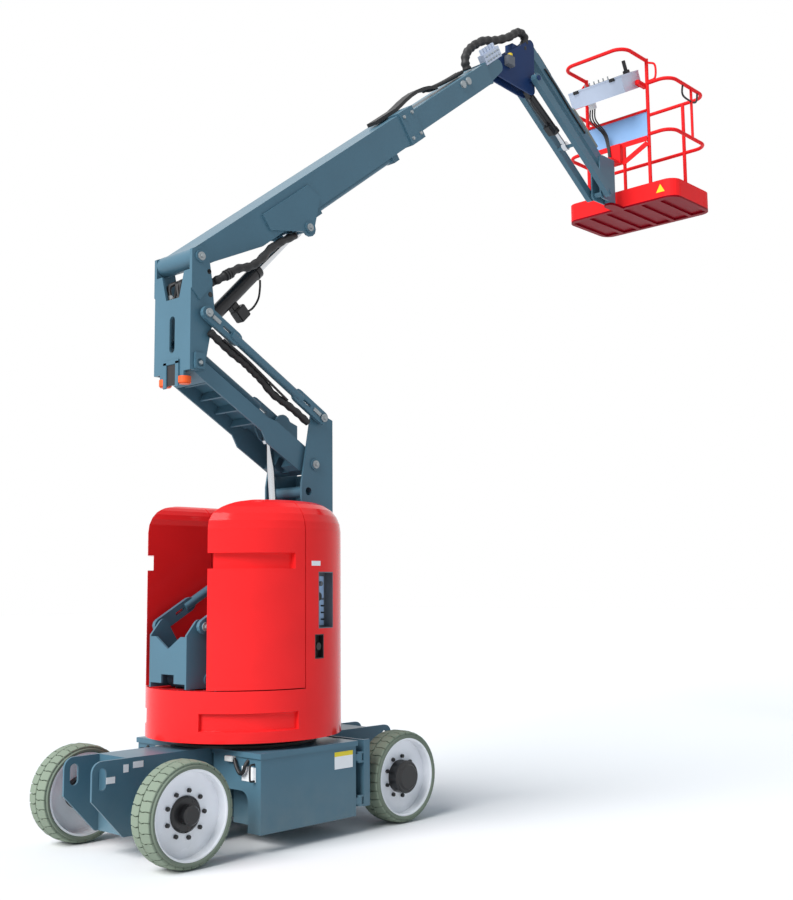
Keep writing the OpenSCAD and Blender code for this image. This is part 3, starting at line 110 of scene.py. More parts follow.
world = bpy.data.worlds.new("studio_sky")
world.use_nodes = True
scene.world = world
sky_tree = world.node_tree
sky_tree.nodes.clear()
sky_out = sky_tree.nodes.new("ShaderNodeOutputWorld")
sky_light = sky_tree.nodes.new("ShaderNodeBackground")
sky_light.inputs["Color"].default_value = (*sky_colour, 1)
sky_light.inputs["Strength"].default_value = sky_level
sky_white = sky_tree.nodes.new("ShaderNodeBackground")
sky_white.inputs["Color"].default_value = (1, 1, 1, 1)
sky_mix = sky_tree.nodes.new("ShaderNodeMixShader")
sky_path = sky_tree.nodes.new("ShaderNodeLightPath")
seen = math_node(sky_tree, "MAXIMUM", sky_path.outputs["Is Camera Ray"], sky_path.outputs["Is Glossy Ray"])
seen = math_node(sky_tree, "MAXIMUM", seen, sky_path.outputs["Is Transmission Ray"])
sky_tree.links.new(seen, sky_mix.inputs["Fac"])
sky_tree.links.new(sky_light.outputs[0], sky_mix.inputs[1])
sky_tree.links.new(sky_white.outputs[0], sky_mix.inputs[2])
sky_tree.links.new(sky_mix.outputs[0], sky_out.inputs["Surface"])

key_data = bpy.data.lights.new("key_light", "SUN")
key_data.energy = key_strength
key_data.angle = key_spread
key_light = bpy.data.objects.new("key_light", key_data)
scene.collection.objects.link(key_light)
key_light.rotation_mode = "QUATERNION"
key_light.rotation_quaternion = (-key_from).to_track_quat("-Z", "Y")

scene.view_settings.view_transform = "Standard"

# The chassis: welded steel plates in grey two-pack paint, with a light film of dust low
# down and a fine orange-peel surface from the spray gun.
grey_colour, grey_dust = (0.068, 0.15, 0.204), (0.2, 0.25, 0.25)
cloud_scale, peel_scale, grime_scale = 3.2, 420.0, 11.0
cloud_detail, peel_detail, grime_detail = 6.0, 2.0, 8.0
peel_strength, peel_depth = 0.12, 0.0006
dark_share, light_share = 0.86, 1.08
gloss_spread, grey_shine = 0.08, 0.26
dust_most, grey_dust_top = 0.6, 0.7


def noise_node(tree, coord, scale, detail):
    """A noise texture read at Object coordinates; returns its value."""
    noise = tree.nodes.new("ShaderNodeTexNoise")
    noise.inputs["Scale"].default_value = scale
    noise.inputs["Detail"].default_value = detail
    tree.links.new(coord, noise.inputs["Vector"])
    return noise.outputs["Fac"]


def mix_colour(tree, amount, low, high):
    """Mixes two colours, each set or linked; returns the result."""
    mix = tree.nodes.new("ShaderNodeMix")
    mix.data_type = "RGBA"
    tree.links.new(amount, mix.inputs["Factor"])
    for socket, value in ((mix.inputs["A"], low), (mix.inputs["B"], high)):
        if isinstance(value, bpy.types.NodeSocket):
            tree.links.new(value, socket)
        else:
            socket.default_value = (*value, 1)
    return mix.outputs["Result"]


def surface(name, colour, rough, dust=None, dust_height=0.0, metal=0.0, shine=0.4, mask=None,
            grain=peel_scale, depth=peel_depth):
    """A finish with clouded colour, uneven gloss, a fine bump and dust below dust_height.
    mask(tree, coord) may give a second colour and the places where it shows."""
    mat, tree, shader, coord = make_material(name)
    cloud = noise_node(tree, coord, cloud_scale, cloud_detail)
    shade = mix_colour(tree, cloud, [dark_share * c for c in colour], [light_share * c for c in colour])
    if dust:
        split = tree.nodes.new("ShaderNodeSeparateXYZ")
        tree.links.new(coord, split.inputs["Vector"])
        height = math_node(tree, "DIVIDE", split.outputs["Z"], dust_height)
        height = math_node(tree, "SUBTRACT", dust_most, math_node(tree, "MINIMUM", height, dust_most))
        grime = math_node(tree, "MULTIPLY", height, noise_node(tree, coord, grime_scale, grime_detail))
        shade = mix_colour(tree, grime, shade, dust)
    if mask:
        amount, other = mask(tree, coord)
        shade = mix_colour(tree, amount, shade, other)
    tree.links.new(shade, shader.inputs["Base Color"])
    tree.links.new(math_node(tree, "MULTIPLY_ADD", cloud, 2 * gloss_spread, rough - gloss_spread),
                   shader.inputs["Roughness"])
    bump = tree.nodes.new("ShaderNodeBump")
    bump.inputs["Strength"].default_value = peel_strength
    bump.inputs["Distance"].default_value = depth
    tree.links.new(noise_node(tree, coord, grain, peel_detail), bump.inputs["Height"])
    tree.links.new(bump.outputs["Normal"], shader.inputs["Normal"])
    shader.inputs["Metallic"].default_value = metal
    shader.inputs["Specular IOR Level"].default_value = shine
    return mat


def dress(material, *names):
    """Gives CAD nodes their material on every slot they have."""
    for name in names:
        data = nodes[name].data
        if not data.materials:
            data.materials.append(material)
        for i in range(len(data.materials)):
            data.materials[i] = material


grey_low = surface("grey_enamel_low", grey_colour, 0.36, grey_dust, grey_dust_top, shine=grey_shine)
dress(grey_low, "chassis_frame", "steer_axle", "tray_left", "tray_right", "tray_lid_left", "tray_lid_right")
grey_high = surface("grey_enamel", grey_colour, 0.34, shine=grey_shine)
dress(grey_high, "turret_frame", "lower_arm", "lower_links", "mid_knuckle", "upper_arm", "upper_links",
      "upright", "boom_outer", "fly", "jib_arms", "jib_link", "jib_bracket")
knuckle_shade_colour = (0.012, 0.034, 0.11)  # painted shade: the knuckle's grey is darkened for the shade that it lies in
grey_knuckle_shade = surface("grey_enamel_knuckle_shade", knuckle_shade_colour, 0.4, shine=0.1)
dress(grey_knuckle_shade, "jib_knuckle")

# The running gear: cast iron drive units, knuckles and slew ring under black chassis paint,
# bolted and pinned to the frame, with road dust on their lower parts.
iron_colour, iron_dust, iron_dust_top = (0.018, 0.018, 0.019), (0.06, 0.06, 0.058), 0.6
black_iron = surface("black_iron", iron_colour, 0.5, iron_dust, iron_dust_top)
dress(black_iron, "drive_axle", "slew_ring", "knuckle_left", "knuckle_right", "tie_rod")

# The tyres: solid pale rubber pressed onto the rims. The casing is turned, and two rings of
# wavy lugs stand on it, set half a pitch apart as they come from the mould.
rubber_colour, rubber_dust, tread_colour = (0.14, 0.175, 0.135), (0.22, 0.25, 0.19), (0.2, 0.245, 0.185)
axle_x, axle_z = 0.825, 0.28
tread_edge_r = 0.262
lug_count, lug_root, tyre_steps = 32, 0.266, 96
crown_half, crown_drop, crown_end = 0.064, 0.007, 0.076
lug_outline = [(-24, 3), (25, 3), (33, 28), (24, 50), (28, 78), (-21, 78), (-25, 50), (-16, 28)]
lug_bevel = 0.0025
rim_depth, wall_depth, bead, casing_rise = 0.044, 0.026, 0.008, 0.002
millimetre = 0.001


def wheel_radius(tree, coord):
    """Distance of a point from its wheel's axis, and its separated coordinates."""
    split = tree.nodes.new("ShaderNodeSeparateXYZ")
    tree.links.new(coord, split.inputs["Vector"])
    x = math_node(tree, "SUBTRACT", math_node(tree, "ABSOLUTE", split.outputs["X"]), axle_x)
    z = math_node(tree, "SUBTRACT", split.outputs["Z"], axle_z)
    square = math_node(tree, "ADD", math_node(tree, "MULTIPLY", x, x), math_node(tree, "MULTIPLY", z, z))
    return math_node(tree, "SQRT", square), split


def tread_mask(tree, coord):
    """The paler tread: all that lies outside the casing's shoulder."""
    r, _ = wheel_radius(tree, coord)
    return math_node(tree, "GREATER_THAN", r, tread_edge_r), tread_colour


tyre_rubber = surface("pale_rubber", rubber_colour, 0.86, rubber_dust, 0.5, mask=tread_mask, grain=160.0,
                      depth=0.001)


def set_piece(name, mesh, material, body, sharp=35.0):
    """Shades a finished mesh, names it, gives it its material and hangs it on its body. A piece
    meant to bend passes its two bodies and the bend's ends as body, and is only fixed in place."""
    mesh.name = name
    obj = bpy.data.objects.new(name, mesh)
    scene.collection.objects.link(obj)
    mesh.materials.clear()
    mesh.materials.append(material)
    mesh.polygons.foreach_set("use_smooth", [True] * len(mesh.polygons))
    mesh.set_sharp_from_angle(angle=math.radians(sharp))
    if isinstance(body, tuple):
        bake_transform(obj)
    else:
        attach(obj, body)
    return obj


def to_mesh(name, shape):
    """Turns a bmesh into a mesh with its faces outward."""
    bmesh.ops.recalc_face_normals(shape, faces=shape.faces)
    mesh = bpy.data.meshes.new(name)
    shape.to_mesh(mesh)
    shape.free()
    return mesh


def turned(name, profile, steps):
    """A closed profile of (radius, y) points turned about the Y axis."""
    shape = bmesh.new()
    rings = [[shape.verts.new((r * math.cos(a), y, r * math.sin(a))) for r, y in profile]
             for a in (math.tau * i / steps for i in range(steps))]
    for i, ring in enumerate(rings):
        after = rings[(i + 1) % steps]
        for j in range(len(profile)):
            k = (j + 1) % len(profile)
            shape.faces.new((ring[j], ring[k], after[k], after[j]))
    return to_mesh(name, shape)


def repeat_tree(name, round_axis):
    """Node group that repeats the incoming mesh round the Y axis or in a row."""
    tree = bpy.data.node_groups.new(name, "GeometryNodeTree")
    for label, kind in (("Geometry", "Geometry"), ("Count", "Int"), ("Step", "Vector"), ("Start", "Vector"),
                        ("Material", "Material")):
        tree.interface.new_socket(label, in_out="INPUT", socket_type="NodeSocket" + kind)
    tree.interface.new_socket("Geometry", in_out="OUTPUT", socket_type="NodeSocketGeometry")
    add, link = tree.nodes.new, tree.links.new
    given, result = add("NodeGroupInput"), add("NodeGroupOutput")
    points, index = add("GeometryNodePoints"), add("GeometryNodeInputIndex")
    link(given.outputs["Count"], points.inputs["Count"])
    along = add("ShaderNodeVectorMath")
    along.operation = "SCALE"
    link(given.outputs["Step"], along.inputs[0])
    link(index.outputs[0], along.inputs["Scale"])
    placed = add("GeometryNodeInstanceOnPoints")
    link(points.outputs[0], placed.inputs["Points"])
    link(given.outputs["Geometry"], placed.inputs["Instance"])
    link(along.outputs["Vector"], placed.inputs["Rotation"] if round_axis else points.inputs["Position"])
    moved, real = add("GeometryNodeTransform"), add("GeometryNodeRealizeInstances")
    coat = add("GeometryNodeSetMaterial")
    link(placed.outputs[0], moved.inputs["Geometry"])
    link(given.outputs["Start"], moved.inputs["Translation"])
    link(moved.outputs[0], real.inputs[0])
    link(real.outputs[0], coat.inputs["Geometry"])
    link(given.outputs["Material"], coat.inputs["Material"])
    link(coat.outputs[0], result.inputs[0])
    return tree


ring_tree = repeat_tree("repeat_round", True)
row_tree = repeat_tree("repeat_row", False)


def repeated(mesh, tree, material, count, step, start):
    """Runs a repeat tree on a mesh and returns the plain mesh it makes."""
    obj = bpy.data.objects.new("repeat", mesh)
    scene.collection.objects.link(obj)
    modifier = obj.modifiers.new("repeat", "NODES")
    modifier.node_group = tree
    values = {"Count": count, "Step": step, "Start": start, "Material": material}
    for item in tree.interface.items_tree:
        if item.in_out == "INPUT" and item.name in values:
            modifier[item.identifier] = values[item.name]
    made = bpy.data.meshes.new_from_object(obj.evaluated_get(bpy.context.evaluated_depsgraph_get()))
    obj.modifiers.clear()
    bpy.data.objects.remove(obj)
    return made


def joined(name, *meshes):
    """Joins meshes that ride together into one."""
    shape = bmesh.new()
    for mesh in meshes:
        shape.from_mesh(mesh)
    mesh = bpy.data.meshes.new(name)
    shape.to_mesh(mesh)
    shape.free()
    return mesh


def lug(side, shift, top):
    """One tread lug, bent to the tyre's round and sloping at the shoulder."""
    shape = bmesh.new()
    rows = []
    for crown in (False, True):
        row = []
        for t, y in lug_outline:
            t, y = t * millimetre, y * millimetre
            slope = max(0.0, y - crown_half) / (crown_end - crown_half) * crown_drop
            r = top - slope if crown else lug_root - slope
            a = t / top + shift
            row.append(shape.verts.new((r * math.cos(a), side * y, r * math.sin(a))))
        rows.append(row)
    count = len(lug_outline)
    for i in range(count):
        j = (i + 1) % count
        shape.faces.new((rows[0][i], rows[0][j], rows[1][j], rows[1][i]))
    shape.faces.new(rows[0])
    cap = shape.faces.new(rows[1])
    bmesh.ops.bevel(shape, geom=list(cap.edges), offset=lug_bevel, segments=1, affect="EDGES")
    return to_mesh("lug", shape)


for end in ("steer", "drive"):
    for side in ("left", "right"):
        node = f"tyre_{end}_{side}"
        low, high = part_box(node)
        centre, tyre_r, half = (low + high) / 2, (high.z - low.z) / 2, (high.y - low.y) / 2
        rim_r, wall_top = tyre_r - rim_depth, tyre_r - wall_depth
        crown_r, shoulder_r = lug_root + casing_rise, lug_root - crown_drop
        casing = [(rim_r, -half + bead), (rim_r, half - bead), (rim_r + bead, half), (wall_top, half),
                  (shoulder_r, crown_end), (crown_r, crown_half), (crown_r, -crown_half),
                  (shoulder_r, -crown_end), (wall_top, -half), (rim_r + bead, -half)]
        body_mesh = turned("casing", casing, tyre_steps)
        body_mesh.transform(Matrix.Translation(centre))
        pitch = math.tau / lug_count
        rings = [repeated(lug(s, shift, tyre_r), ring_tree, tyre_rubber, lug_count, (0, pitch, 0), centre)
                 for s, shift in ((1, 0.0), (-1, pitch / 2))]
        tyre = set_piece(f"tread_{end}_{side}", joined("tread", body_mesh, *rings), tyre_rubber,
                         f"wheel_{end}_{side}", 25.0)
        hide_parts(node)

# The wheels: pressed dishes in white enamel, with black cast hubs. A ring of black nuts
# holds each dish to its hub.
rim_colour, rim_dust, hub_colour = (0.86, 0.88, 0.92), (0.5, 0.49, 0.45), (0.016, 0.016, 0.017)
disc_face, disc_back, hub_edge_r, boss_edge_r = 0.5235, 0.5085, 0.104, 0.0935
nut_count, nut_circle, nut_r, nut_h, nut_sides, nut_sink = 9, 0.122, 0.0125, 0.016, 6, 0.001
edge_share = 0.16


def hub_mask(tree, coord):
    """The hub's black: near the axle, outside the disc's face or inside its back."""
    r, split = wheel_radius(tree, coord)
    y = math_node(tree, "ABSOLUTE", split.outputs["Y"])
    outer = math_node(tree, "MULTIPLY", math_node(tree, "LESS_THAN", r, hub_edge_r),
                      math_node(tree, "GREATER_THAN", y, disc_face))
    inner = math_node(tree, "MULTIPLY", math_node(tree, "LESS_THAN", r, boss_edge_r),
                      math_node(tree, "LESS_THAN", y, disc_back))
    return math_node(tree, "MAXIMUM", outer, inner), hub_colour


rim_white = surface("rim_white", rim_colour, 0.3, rim_dust, 0.5, mask=hub_mask)
black_steel = surface("black_steel", (0.02, 0.02, 0.021), 0.4)


def prism(sides, r, height, turn=0.0):
    """An upright prism along +Z, with its top edge bevelled."""
    shape = bmesh.new()
    bmesh.ops.create_cone(shape, cap_ends=True, segments=sides, radius1=r, radius2=r, depth=height,
                          matrix=Matrix.Translation((0, 0, height / 2)) @ Matrix.Rotation(turn, 4, "Z"))
    rim = [e for e in shape.edges if all(v.co.z > height / 2 for v in e.verts)]
    bmesh.ops.bevel(shape, geom=rim, offset=min(r, height) * edge_share, segments=2, affect="EDGES")
    return to_mesh("prism", shape)


def facing(mesh, place, direction):
    """Turns a mesh's +Z to a direction and sets it at a place."""
    turn = Vector(direction).to_track_quat("Z", "Y").to_matrix().to_4x4()
    mesh.transform(Matrix.Translation(Vector(place)) @ turn)
    return mesh


for end, x in (("steer", -axle_x), ("drive", axle_x)):
    for side, s in (("left", 1), ("right", -1)):
        dress(rim_white, f"wheel_{end}_{side}")
        nut = facing(prism(nut_sides, nut_r, nut_h), (nut_circle, s * (disc_face - nut_sink), 0), (0, s, 0))
        nuts = repeated(nut, ring_tree, black_steel, nut_count, (0, math.tau / nut_count, 0), (x, 0, axle_z))
        set_piece(f"wheel_nuts_{end}_{side}", nuts, black_steel, f"wheel_{end}_{side}")

# The red covers: gloss moulded hoods and rear covers over a cast ballast in the same red. The
# hoods swing on hinges and the rear covers are bolted to the turret frame.
red_colour = (0.84, 0.02, 0.022)
red_gloss = surface("red_gloss", red_colour, 0.14, shine=0.12, grain=60.0)
dress(red_gloss, "counterweight", "rear_cover_left", "rear_cover_right", "hood_left", "hood_right")

# The platform: welded tube and folded sheet in red enamel, with a galvanised front sheet
# and an alloy control box.
red_enamel = surface("red_enamel", red_colour, 0.36, shine=0.05)
dress(red_enamel, "guard_rails")
underside_top, underside_colour = 4.9508, (0.2, 0.002, 0.008)


def underside_mask(tree, coord):
    """The platform's underside, darkened to stand for the shade that it lies in."""
    split = tree.nodes.new("ShaderNodeSeparateXYZ")
    tree.links.new(coord, split.inputs["Vector"])
    return math_node(tree, "LESS_THAN", split.outputs["Z"], underside_top), underside_colour


red_shaded = surface("red_enamel_shaded", red_colour, 0.36, shine=0.05, mask=underside_mask)
dress(red_shaded, "platform_floor")
sheet_zinc = surface("sheet_zinc", (0.24, 0.42, 0.7), 0.42, shine=0.3, grain=30.0)
dress(sheet_zinc, "platform_panel")
bare_alloy = surface("bare_alloy", (0.48, 0.54, 0.66), 0.36, metal=0.5, grain=240.0)
dress(bare_alloy, "valve_block", "control_box")

# The cylinders: honed barrels in black paint and hard-chromed rods, held by pins in their eyes.
# Orange rubber stops are fixed under the foot of the upright.
black_paint = surface("black_paint", (0.014, 0.014, 0.016), 0.32)
dress(black_paint, "riser_barrel", "lift_barrel", "jib_barrel")
rod_chrome = surface("rod_chrome", (0.62, 0.63, 0.65), 0.14, metal=1.0, grain=900.0)
dress(rod_chrome, "riser_rod", "lift_rod", "jib_rod")
bumper_orange = surface("bumper_orange", (0.8, 0.1, 0.012), 0.5, grain=200.0)
stop_r, stop_h, stop_x, stop_y, stop_top = 0.038, 0.045, -0.548, 0.096, 2.7069
stop_sides, stop_sharp = 40, 40
stop_pair = [facing(prism(stop_sides, stop_r, stop_h), (stop_x, s * stop_y, stop_top), (0, 0, -1))
             for s in (-1, 1)]
stops = set_piece("rubber_stops", joined("rubber_stops", *stop_pair), bumper_orange, "upright",
                  stop_sharp)
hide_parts("bumpers")

# The small mouldings: battery cases, latches, ground control pan and the hose carrier, of
# black or grey plastic, clipped or screwed in place.
black_plastic = surface("black_plastic", (0.012, 0.012, 0.013), 0.5, grain=300.0)
dress(black_plastic, "battery_left", "battery_right", "hood_latches", "hose_track")
panel_grey = surface("panel_grey", (0.1, 0.11, 0.13), 0.5, grain=300.0)
dress(panel_grey, "ground_controls")

# The pivots' ends: every pin of the riser and the boom is held by a bolted cap, and the
# link pins also by a keeper bar along the link's head.
mid_low, mid_arm = Vector((0.520977, 0, 1.4725)), Vector((0.423977, 0, 2.2445))
mid_link = Vector((0.453977, 0, 2.5445))
foot, foot_link = Vector((-0.41, 0, 0.935)), Vector((-0.48, 0, 1.24))
mid_low_link = mid_low + (foot_link - foot)
up_arm, up_link = Vector((-0.507, 0, 2.782)), Vector((-0.477, 0, 3.082))
boom_pivot, lift_lug = Vector((-0.511, 0, 3.426)), (0.958, -0.24)
round_sides, boss_sides, hex_sides = 32, 24, 6
boom_angle = math.radians(37.2)
boom_along = Vector((math.cos(boom_angle), 0, math.sin(boom_angle)))
boom_up = Vector((-math.sin(boom_angle), 0, math.cos(boom_angle)))
cap_y, link_y, root_y, lug_y = 0.189, 0.236, 0.199, 0.166
cap_r, cap_h, bolt_r, bolt_h = 0.026, 0.006, 0.013, 0.011
zinc = surface("zinc_plate", (0.34, 0.37, 0.38), 0.4, metal=0.4, grain=500.0)


def boom_at(u, n, y):
    """A point along, above and beside the boom's pivot."""
    return boom_pivot + u * boom_along + n * boom_up + Vector((0, y, 0))


def box_mesh(size, bevel=0.0015):
    """A block with its edges broken."""
    shape = bmesh.new()
    bmesh.ops.create_cube(shape, size=1.0, matrix=Matrix.Diagonal((*size, 1)))
    if bevel:
        bmesh.ops.bevel(shape, geom=list(shape.edges), offset=bevel, segments=2, affect="EDGES")
    return to_mesh("block", shape)


def bar_mesh(a, b, width, thick):
    """A flat bar in the XZ plane from a to b, thick along Y."""
    span = b - a
    mesh = box_mesh((span.length, thick, width))
    mesh.transform(Matrix.Translation((a + b) / 2) @ Matrix.Rotation(-math.atan2(span.z, span.x), 4, "Y"))
    return mesh


def pin_ends(place, y):
    """A round cap and a hexagon bolt on both ends of a pin."""
    made = []
    for s in (-1, 1):
        spot = Vector((place.x, s * y, place.z))
        made.append(facing(prism(round_sides, cap_r, cap_h), spot, (0, s, 0)))
        made.append(facing(prism(hex_sides, bolt_r, cap_h + bolt_h), spot, (0, s, 0)))
    return made


mid_pins = [(mid_low, cap_y), (mid_arm, cap_y), (mid_link, link_y), (mid_low_link, link_y)]
for body, pins in (("turret", [(foot, cap_y), (foot_link, link_y)]), ("mid_knuckle", mid_pins),
                   ("upright", [(up_arm, cap_y), (up_link, link_y), (boom_pivot, root_y)]),
                   ("boom", [(boom_at(*lift_lug, 0), lug_y)])):
    ends = joined("pin_ends", *[mesh for place, y in pins for mesh in pin_ends(place, y)])
    set_piece(f"pin_ends_{body}", ends, zinc, body)

link_slope = math.radians(30)
keeper_from, keeper_to, keeper_w, keeper_t, link_face = 0.034, 0.1, 0.024, 0.009, 0.228
for body, ends, slope in (("lower_links", (foot_link, mid_low_link), link_slope),
                          ("upper_links", (mid_link, up_link), math.pi - link_slope)):
    way = Vector((math.cos(slope), 0, math.sin(slope)))
    bars = []
    for place, sign in zip(ends, (1, -1)):
        for s in (-1, 1):
            spot = place + Vector((0, s * (link_face + keeper_t / 2), 0))
            near, far = spot + sign * keeper_from * way, spot + sign * keeper_to * way
            bars.append(bar_mesh(near, far, keeper_w, keeper_t))
    set_piece(f"keepers_{body}", joined("keepers", *bars), zinc, body)

# The upright's fittings: a folded guide round the lower slot and two lock plates at the arm's
# pin, welded on in the machine's grey, and thin black sheets painted as the shade in the slot and the
# plates' holes.
front_x, guide_t, side_y, dark_t = -0.573, 0.008, 0.179, 0.002
guide_w, guide_h, guide_y, guide_z = 0.036, 0.16, 0.06, 2.725
bridge_w, bridge_h, bridge_z = 0.156, 0.03, 2.8
lock_l, lock_t, lock_h, lock_rise, guide_bevel = 0.075, 0.016, 0.1, 0.012, 0.003
guide_x = front_x - guide_t / 2
guide_parts = [((guide_t, guide_w, guide_h), (guide_x, s * guide_y, guide_z)) for s in (-1, 1)]
guide_parts += [((guide_t, bridge_w, bridge_h), (guide_x, 0, bridge_z))]
guide_parts += [((lock_l, lock_t, lock_h), (up_arm.x, s * (side_y + lock_t / 2), up_arm.z + lock_rise))
                for s in (-1, 1)]
guides = []
for size, centre in guide_parts:
    part = box_mesh(size, guide_bevel)
    part.transform(Matrix.Translation(centre))
    guides.append(part)
set_piece("upright_guides", joined("upright_guides", *guides), grey_high, "upright")
# Painted shade: a thin black sheet on the front plate and black discs on the side plates stand for the shade
# inside the slot and the holes.
slot_w, slot_h, slot_z = 0.082, 0.125, 2.722
slot_shade = box_mesh((dark_t, slot_w, slot_h), 0.0)
slot_shade.transform(Matrix.Translation((front_x - dark_t / 2, 0, slot_z)))
hole_sides, hole_r, hole_places = 20, 0.016, ((-0.445, 3.346, 0.187), (-0.428, 3.209, 0.179))
holes = [facing(prism(hole_sides, hole_r, dark_t), (x, s * side, z), (0, s, 0))
         for x, z, side in hole_places for s in (-1, 1)]
set_piece("upright_hole_shade", joined("upright_hole_shade", slot_shade, *holes), black_paint, "upright")

# The upper arm's ribs: flat plates welded across the inside of the arm, which is a folded
# channel, open below.
arm_way, arm_down = Vector((-0.866025, 0, 0.5)), Vector((-0.5, 0, -0.866025))
arm_turn = Matrix.Rotation(math.atan2(-arm_down.x, -arm_down.z), 4, "Y")
rib_places, rib_t, rib_w, rib_top, rib_low = (0.5, 0.64, 0.78, 0.92), 0.012, 0.255, -0.037, 0.022
rib_middle, rib_bevel = (rib_low + rib_top) / 2, 0.001
ribs = []
for place in rib_places:
    rib = box_mesh((rib_t, rib_w, rib_low - rib_top), rib_bevel)
    rib.transform(Matrix.Translation(mid_arm + place * arm_way + rib_middle * arm_down) @ arm_turn)
    ribs.append(rib)
set_piece("arm_ribs", joined("arm_ribs", *ribs), grey_high, "upper_arm")

# The riser's hoses: a bundle in a black woven sleeve that runs under the right upper link,
# tied every hand's breadth.
hose_black = surface("hose_black", (0.01, 0.01, 0.011), 0.55, grain=500.0)


def smooth_path(points, steps=10):
    """A flowing line through points."""
    pts = [Vector(p) for p in points]
    pts = [2 * pts[0] - pts[1]] + pts + [2 * pts[-1] - pts[-2]]
    line = []
    for a, b, c, d in zip(pts, pts[1:], pts[2:], pts[3:]):
        for i in range(steps):
            t = i / steps
            line.append(0.5 * (2 * b + (c - a) * t + (2 * a - 5 * b + 4 * c - d) * t ** 2
                               + (3 * b - a - 3 * c + d) * t ** 3))
    return line + [pts[-2]]


def tube_mesh(points, r, steps=10, swell=0.0, waves=0):
    """A round hose along a flowing line; swell makes it lumpy, as a tied bundle is."""
    line = smooth_path(points, steps)
    curve = bpy.data.curves.new("hose", "CURVE")
    curve.dimensions = "3D"
    curve.bevel_depth = r
    curve.bevel_resolution = 3
    curve.use_fill_caps = True
    spline = curve.splines.new("POLY")
    spline.points.add(len(line) - 1)
    for i, (point, place) in enumerate(zip(spline.points, line)):
        point.co = (*place, 1)
        point.radius = 1 + swell * math.sin(math.tau * waves * i / len(line))
    obj = bpy.data.objects.new("hose", curve)
    scene.collection.objects.link(obj)
    mesh = bpy.data.meshes.new_from_object(obj.evaluated_get(bpy.context.evaluated_depsgraph_get()))
    bpy.data.objects.remove(obj)
    bpy.data.curves.remove(curve)
    return mesh


hose_sharp, lump = 60, 0.1
sleeve_r, sleeve_y, line_r, line_out = 0.024, -0.207, 0.008, Vector((0, -0.03, 0.012))
sleeve_line = [Vector((x, sleeve_y, z)) for x, z in (
    (-0.45, 2.972), (-0.37, 2.922), (-0.28, 2.868), (-0.192, 2.825), (-0.123, 2.781), (-0.055, 2.737),
    (0.039, 2.659), (0.138, 2.612), (0.24, 2.562), (0.335, 2.505))]
sleeve = tube_mesh(sleeve_line, sleeve_r, steps=12, swell=lump, waves=15)
thin = tube_mesh([place + line_out for place in sleeve_line[1:9:2]], line_r)
set_piece("riser_hoses", joined("riser_hoses", sleeve, thin), hose_black, "upper_links",
          hose_sharp)

# The hoses in the upright: loose rubber lines that cross behind its window on the way to the
# boom, with plated ferrules where they are joined.
window_count, window_x, window_r, window_from, window_step = 9, -0.53, 0.011, -0.1, 0.025
lean_most, lean_turn, bow_step, bow_count = 0.03, 2.4, 0.012, 3
window_lines = []
for i in range(window_count):
    y, lean = window_from + window_step * i, lean_most * math.sin(lean_turn * i)
    bow_x = window_x + bow_step * (i % bow_count)
    window_lines.append(tube_mesh([(window_x, y, 3.14), (bow_x, y + lean, 3.22),
                                   (-0.52, y + 1.6 * lean, 3.29), (-0.48, y - lean, 3.325)], window_r))
set_piece("window_lines", joined("window_lines", *window_lines), hose_black, "upright",
          hose_sharp)
ferrule_count, ferrule_r, ferrule_h, ferrule_from, ferrule_step = 4, 0.014, 0.03, -0.075, 0.05
ferrules = []
for i in range(ferrule_count):
    spot = (window_x + bow_step * (i % bow_count), ferrule_from + ferrule_step * i, 3.2)
    ferrules.append(facing(prism(hex_sides, ferrule_r, ferrule_h), spot, (0, 0.15, 1)))
set_piece("window_ferrules", joined("window_ferrules", *ferrules), zinc, "upright")

# The boom lift's hoses: a counterbalance valve, bolted to a pad on the barrel, with a thin
# rubber line along the barrel to its far port.
lift_base, lift_head = Vector((-0.449, 0, 2.95)), boom_at(*lift_lug, 0)
lift_way = (lift_head - lift_base).normalized()
lift_side = Vector((lift_way.z, 0, -lift_way.x))


def lift_at(t, out, y=0.0):
    """A point along the lift cylinder, below it and to one side."""
    return lift_base + t * lift_way + out * lift_side + Vector((0, y, 0))


lift_tilt = Matrix.Rotation(-math.atan2(lift_way.z, lift_way.x), 4, "Y")
valve_size, valve_bevel, valve_place = (0.09, 0.07, 0.085), 0.006, (0.44, 0.115, -0.01)
pad_size, pad_bevel, pad_place = (0.06, 0.05, 0.05), 0.004, (0.43, 0.06)
valve = box_mesh(valve_size, valve_bevel)
valve.transform(Matrix.Translation(lift_at(*valve_place)) @ lift_tilt)
valve_foot = box_mesh(pad_size, pad_bevel)
valve_foot.transform(Matrix.Translation(lift_at(*pad_place)) @ lift_tilt)
set_piece("lift_valve", joined("lift_valve", valve, valve_foot), black_paint, "lift_barrel")
lift_route = ((0.46, 0.13), (0.54, 0.145), (0.62, 0.13), (0.68, 0.09), (0.72, 0.052))
lift_line_y, lift_line_r = -0.02, 0.007
lift_line = tube_mesh([lift_at(t, out, lift_line_y) for t, out in lift_route], lift_line_r)
set_piece("lift_line", lift_line, hose_black, "lift_barrel", hose_sharp)

# The hose to the boom: a sleeved bundle that leaves the upright through a ribbed boot and
# climbs along the lift cylinder to the boom.
boot_rings, boot_step, boot_r = 3, 0.018, 0.033
boot_foot, boot_way = Vector((-0.335, -0.201, 3.338)), Vector((0.06, -0.012, 0.04)).normalized()
hose_r, boot_share = 0.026, 0.8
hose_line = [(-0.45, -0.13, 3.28), (-0.39, -0.136, 3.298), (-0.355, -0.178, 3.322), (-0.31, -0.208, 3.356),
             (-0.241, -0.213, 3.4), (-0.147, -0.21, 3.433), (-0.06, -0.2, 3.493), (0.085, -0.14, 3.614),
             (0.2, -0.12, 3.69), (0.32, -0.1, 3.755)]
boom_hose = tube_mesh(hose_line, hose_r, swell=lump, waves=12)
set_piece("boom_hose", boom_hose, hose_black, ("upright", "boom", (-0.2, 0, 3.42), (0.02, 0, 3.53)),
          hose_sharp)
boots = []
